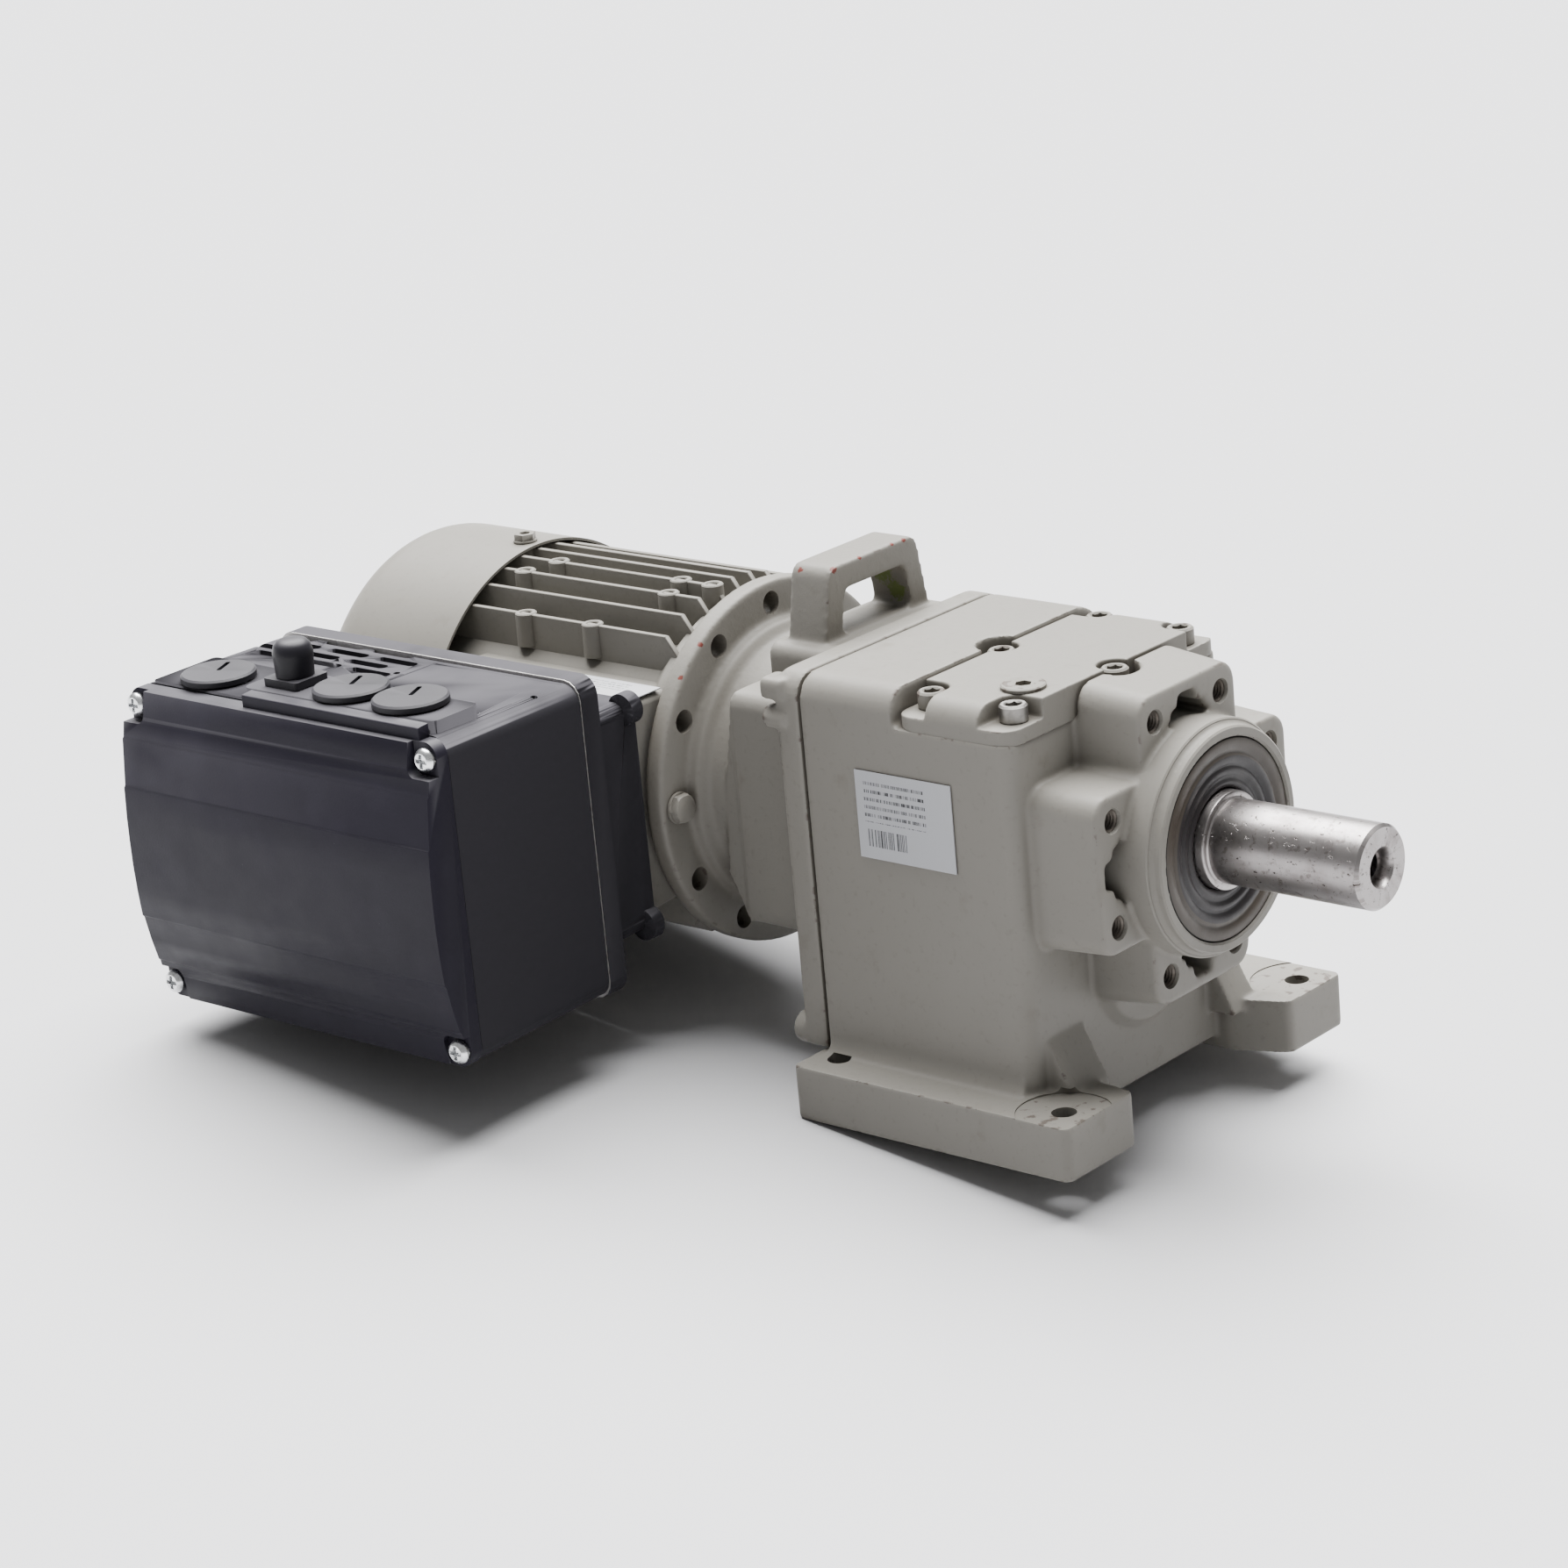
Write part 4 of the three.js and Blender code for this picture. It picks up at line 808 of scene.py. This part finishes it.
HOOD_REAR, HOOD_RADIUS, HOOD_BEND = -384, 70, 16
hood = lathe(hood_profile(HOOD_RADIUS, HOOD_REAR, HOOD_BEND, 1), steps=160)
slots = []
for ring_radius, count in ((16, 6), (25, 10), (34, 14), (43, 18)):
    for k in range(count):
        outline = rectangle(-2.1, 2.1, ring_radius - 3.3, ring_radius + 3.3, 2)
        slots.append(turn_about_shaft(prism(outline, "x", HOOD_REAR - 2, HOOD_REAR + 4), 360 * k / count))
combine(hood, cuts=slots)
piece(smooth_shaded(hood), "fan_hood", hood_paint, ["fan_cover"])

for number, turn in enumerate(THIRDS, 1):
    hood_screw(turn, number)

# ---------- shaft and seal ----------
SHAFT_END, SHAFT_RADIUS = 62.5, 15
shaft_profile = [
    (-104, 0), (-104, 9.7), (-89, 9.7), (-89, 16), (-34, 16), (-34, 20.5), (-29, 20.5), (-29, 17.5),
    (0.7, 17.5), (1.2, 17.3), (1.5, 16.8), (1.5, 15.6), (2.0, SHAFT_RADIUS),
    (SHAFT_END - 1.2, SHAFT_RADIUS), (SHAFT_END - 0.2, 14.1), (SHAFT_END, 13.9), (SHAFT_END, 7.3),
    (SHAFT_END - 1.3, 6.3), (SHAFT_END - 5, 5.9), (SHAFT_END - 5, 4.6), (41, 4.6), (40, 0),
]
shaft = lathe(shaft_profile, steps=160)
piece(smooth_shaded(shaft), "drive_shaft", shaft_steel, ["output_shaft"], "output")
seal_profile = [
    (-10, 19.5), (-10, 35.7), (-0.9, 35.7), (-0.6, 35.3), (-0.6, 31.6), (-1.2, 31.0), (-1.2, 30.2),
    (-0.7, 29.6), (-0.7, 26.9), (-1.7, 26.2), (-1.7, 25.4), (-1.1, 24.8), (-1.1, 22.9), (-2.0, 22.3),
    (-2.0, 20.9), (-1.5, 20.3), (-1.5, 19.2), (-2.4, 18.0), (-3.6, 17.8), (-5, 18.4),
]
piece(smooth_shaded(lathe(seal_profile, steps=160), 60), "lip_seal", rubber, ["shaft_seal"])

# ---------- inverter ----------
MIDDLE, HALF_REAR, HALF_FRONT, HALF_HEIGHT = -278, 76.5, 78, 60
COVER_SEAT, BODY_REAR = -171.8, -104.1
PLUG_Y, PLATFORM_TOP, PLATE_TOP = -159, 64.6, 60.6
SLIT_FLOOR, SLIT_TOP = 58.9, 64
SIGNS = [(sx, sz) for sx in (-1, 1) for sz in (-1, 1)]
LID_SCREWS = [(MIDDLE + 73.2 * sx, 53.6 * sz) for sx, sz in SIGNS]
RIM_SCREWS = [(MIDDLE + 68.5 * sx, 51.5 * sz) for sx, sz in SIGNS]


def inverter_outline(half, inset=0.0, radius=7.0):
    side, height = half - inset, HALF_HEIGHT - inset
    return rectangle(MIDDLE - side, MIDDLE + side, -height, height, radius)


def vent_slots():
    slots = []
    for row, y in enumerate((-104.5, -111.5, -118.5, -125.5)):
        for i in range(3):
            x = -343 + (i + (row % 2) / 3) * 25
            slots.append(prism(rectangle(x - 10, x + 10, y - 2.2, y + 2.2, 2), "z", 52, SLIT_TOP))
    return slots


def lid_notch(x, z):
    """Open corner of the lid in which a screw's head sits."""
    out_x, out_z = math.copysign(1, x - MIDDLE), math.copysign(1, z)
    x0, x1 = sorted((x - 6 * out_x, x + 20 * out_x))
    z0, z1 = sorted((z - 6 * out_z, z + 20 * out_z))
    return prism(rectangle(x0, x1, z0, z1, 3.5), "y", -200, -177.2)


def pan_screw(place, seat, way, length, name, node):
    """Cross-slot screw along y; way is +1 or -1, the side to which its head points."""
    x, z = place
    profile = [
        (seat - way * length, 0), (seat - way * length, 2.2), (seat, 2.2), (seat, 4.3),
        (seat + way * 1.4, 4.35), (seat + way * 2.4, 3.9), (seat + way * 3.1, 2.9), (seat + way * 3.4, 0),
    ]
    head = lathe(profile, "y", (x, z), 40)
    low, high = sorted((seat + way * 1.3, seat + way * 5))
    cross = []
    for a, b in ((2.5, 0.65), (0.65, 2.5)):
        arm = [(x - a, z - b), (x + a, z - b), (x + a, z + b), (x - a, z + b)]
        cross.append(prism(arm, "y", low, high))
    combine(head, cuts=cross)
    piece(soft_edges(head, 0.12, 1), name, zinc, [node])


def slotted_plug(x, seat, number):
    low = seat + 0.3
    profile = [
        (low - 7, 0), (low - 7, 7.6), (low - 0.2, 7.6), (low, 12.8), (low + 0.4, 13.8), (low + 2.3, 13.8),
        (low + 3.0, 13.0), (low + 3.0, 0),
    ]
    disc = lathe(profile, "z", (x, PLUG_Y), 72)
    slot = prism(rectangle(0, 10, -0.9, 0.9, 0.8), "z", low + 1.4, low + 4)
    about = Matrix.Translation(real((0, 0, 0)))
    shift = Matrix.Translation(Vector((x, PLUG_Y, 0)) * MM)
    slot.data.transform(shift @ about @ Matrix.Rotation(math.radians(114), 4, "Z") @ about.inverted())
    combine(disc, cuts=[slot])
    name, node = f"slotted_plug_{number}", f"blanking_plug_{number}"
    piece(smooth_shaded(disc), name, black_part, [node])


body = prism(inverter_outline(HALF_FRONT - 0.4), "y", -171.5, BODY_REAR, 0.982, (MIDDLE, 0))
platform = prism(rectangle(-302, -207, -171.2, -147, 4), "z", 50, PLATFORM_TOP)
seat_plate = prism(rectangle(-350, -303, -171, -140, 2), "z", 50, PLATE_TOP)
combine(body, [platform, seat_plate])
body_cuts = vent_slots()
body_cuts.append(prism(rectangle(-346, -303, -173.2, -172.2, 0.4), "z", 59, SLIT_TOP))
body_cuts += [rod("z", x, y, 55, SLIT_TOP, 1.3, 20) for x, y in ((-207, -121), (-274, -122))]
body_cuts.append(prism(rectangle(-270, -269.2, -140, -106, 0.3), "z", SLIT_FLOOR, SLIT_TOP))
body_cuts.append(prism(rectangle(-269.5, -206, -106.6, -105.9, 0.3), "z", SLIT_FLOOR, SLIT_TOP))
combine(body, cuts=body_cuts)
piece(soft_edges(body, 0.6, 2), "inverter_case", black_body, ["inverter_body"])

rim = prism(inverter_outline(HALF_REAR), "y", -103.4, -95)
neck = prism(rectangle(-318, -206, -44, 44, 5), "y", -97, -72, 0.99, (TERMINAL_X, 0))
ears = [rod("y", x, z, -77.5, -72, 6, 32) for x in (-316, -208) for z in (-41, 41)]
combine(rim, [neck, *ears])
piece(soft_edges(rim, 0.7, 2), "inverter_rear_case", black_body, ["inverter_base"])

bow = [
    (COVER_SEAT, -59.6), (COVER_SEAT, 59.6), (-180, 59.6), (-183.2, 42.2), (-183.8, 41.4), (-185.6, 24.2),
    (-186.2, 23.4), (-186.9, 12), (-187.1, 3), (-187.1, -6), (-186.7, -16), (-185.9, -26), (-185.2, -26.8),
    (-183.4, -36), (-181.2, -44.6), (-180.5, -45.4), (-178, -59.6),
]
lid = prism(bow, "x", MIDDLE - HALF_FRONT, MIDDLE + HALF_FRONT)
combine(lid, keeps=[prism(inverter_outline(HALF_FRONT, 0.2, 6), "y", -200, COVER_SEAT)])
lip_outline = rounded([(-177, 56), (-172, 56), (-172, PLATFORM_TOP), (-177, PLATFORM_TOP - 0.4, 0.8)])
combine(lid, [prism(lip_outline, "x", -296, -208)])
combine(lid, cuts=[lid_notch(x, z) for x, z in LID_SCREWS])
piece(soft_edges(lid, 0.2, 2), "inverter_lid", black_cover, ["inverter_cover"])

for number, (lid_place, rim_place) in enumerate(zip(LID_SCREWS, RIM_SCREWS), 1):
    pan_screw(lid_place, -177.4, -1, 14, f"lid_screw_{number}", f"inverter_cover_screw_{number}")
    pan_screw(rim_place, -94.7, 1, 16, f"rim_screw_{number}", f"inverter_rear_screw_{number}")

plug_seats = [(-327.5, PLATE_TOP), (-258.5, PLATFORM_TOP), (-229, PLATFORM_TOP)]
for number, (x, seat) in enumerate(plug_seats, 1):
    slotted_plug(x, seat, number)

KNOB_X = -286.5
cap = PLATFORM_TOP + 2.6
knob_profile = [
    (cap - 9, 0), (cap - 9, 3.6), (cap, 3.6), (cap, 6.9), (cap + 5, 7.1), (cap + 8.4, 7.4),
    (cap + 9.4, 7.3), (cap + 12, 6.6), (cap + 13.4, 5.2), (cap + 14, 3.6), (cap + 14.1, 0),
]
knob = lathe(knob_profile, "z", (KNOB_X, PLUG_Y), 64)
base_outline = rectangle(KNOB_X - 8.5, KNOB_X + 8.5, PLUG_Y - 8, PLUG_Y + 8, 1.2)
combine(knob, [prism(base_outline, "z", PLATFORM_TOP + 0.3, PLATFORM_TOP + 3.1)])
piece(smooth_shaded(knob, 50), "rubber_cap", black_part, ["knob_cap"])

# ---------- nodes carried over from the CAD ----------
finishes = {
    "stator": copper, "fan": black_part, "circuit_board": board_green, "type_plate": type_print,
    "motor_plate": motor_print, "rotor_shaft": shaft_steel,
    "inverter_gasket": plain_metal("gasket", (0.42, 0.41, 0.40), 0.5),
}
for name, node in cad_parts.items():
    node.data.materials.clear()
    node.data.materials.append(finishes.get(name, gear_steel))

# ---------- studio ----------
FLOOR_SIZE = 40
rest_edge = real((FOOT_BACK, 0, SOLE))
bend_centre = real((HOOD_REAR + HOOD_BEND, 0, HOOD_BEND - HOOD_RADIUS))
span = bend_centre - rest_edge
tilt = math.atan2(span.z, -span.x) - math.asin(HOOD_BEND * MM / math.hypot(span.x, span.z))


def tilted_floor():
    """The table, tilted about the feet's back edge until it touches the fan cover's bend."""
    grid = bmesh.new()
    bmesh.ops.create_grid(grid, x_segments=1, y_segments=1, size=FLOOR_SIZE)
    floor = finish_mesh("floor", grid)
    floor.matrix_world = Matrix.Translation(rest_edge) @ Matrix.Rotation(tilt, 4, "Y")
    paper = Finish("paper", (0.45, 0.45, 0.46), 0.8)
    paper.tint(paper.noise(3, 2), (0.47, 0.47, 0.48), 0.5)
    floor.data.materials.append(paper.done())


def white_world(strength):
    world = bpy.data.worlds.new("studio")
    world.use_nodes = True
    background = world.node_tree.nodes["Background"]
    background.inputs["Color"].default_value = (1, 1, 1, 1)
    background.inputs["Strength"].default_value = strength
    bpy.context.scene.world = world


def soft_sky_light(name, direction, spread, strength):
    """A wide far-off diffuser: every spot of the floor gets the same light from it."""
    light = bpy.data.lights.new(name, "SUN")
    light.angle = math.radians(spread)
    light.energy = strength
    lamp = bpy.data.objects.new(name, light)
    lamp.rotation_euler = Vector(direction).to_track_quat("Z", "Y").to_euler()
    bpy.context.scene.collection.objects.link(lamp)


tilted_floor()
white_world(0.38)
soft_sky_light("overhead", direction=(-0.22, 0.35, 1), spread=64, strength=20.5)


# ---------- camera ----------
def set_camera(place, azimuth, elevation, roll, focal_length):
    """Camera that looks at the part; the angles are degrees, with azimuth 0 on the -Y side."""
    azimuth, elevation, roll = math.radians(azimuth), math.radians(elevation), math.radians(roll)
    flat = math.cos(elevation)
    back = Vector((math.sin(azimuth) * flat, -math.cos(azimuth) * flat, math.sin(elevation)))
    level_right = Vector((math.cos(azimuth), math.sin(azimuth), 0))
    level_up = back.cross(level_right)
    right = level_right * math.cos(roll) + level_up * math.sin(roll)
    up = back.cross(right)
    lens = bpy.data.cameras.new("camera")
    lens.lens = focal_length
    lens.sensor_width = 36
    lens.clip_end = 50
    camera = bpy.data.objects.new("camera", lens)
    camera.matrix_world = Matrix.Translation(place) @ Matrix((right, up, back)).transposed().to_4x4()
    bpy.context.scene.collection.objects.link(camera)
    bpy.context.scene.camera = camera


set_camera(
    place=(0.9675, -1.2118, 0.6316), azimuth=42.11, elevation=18.35, roll=-5.28, focal_length=106.2,
)
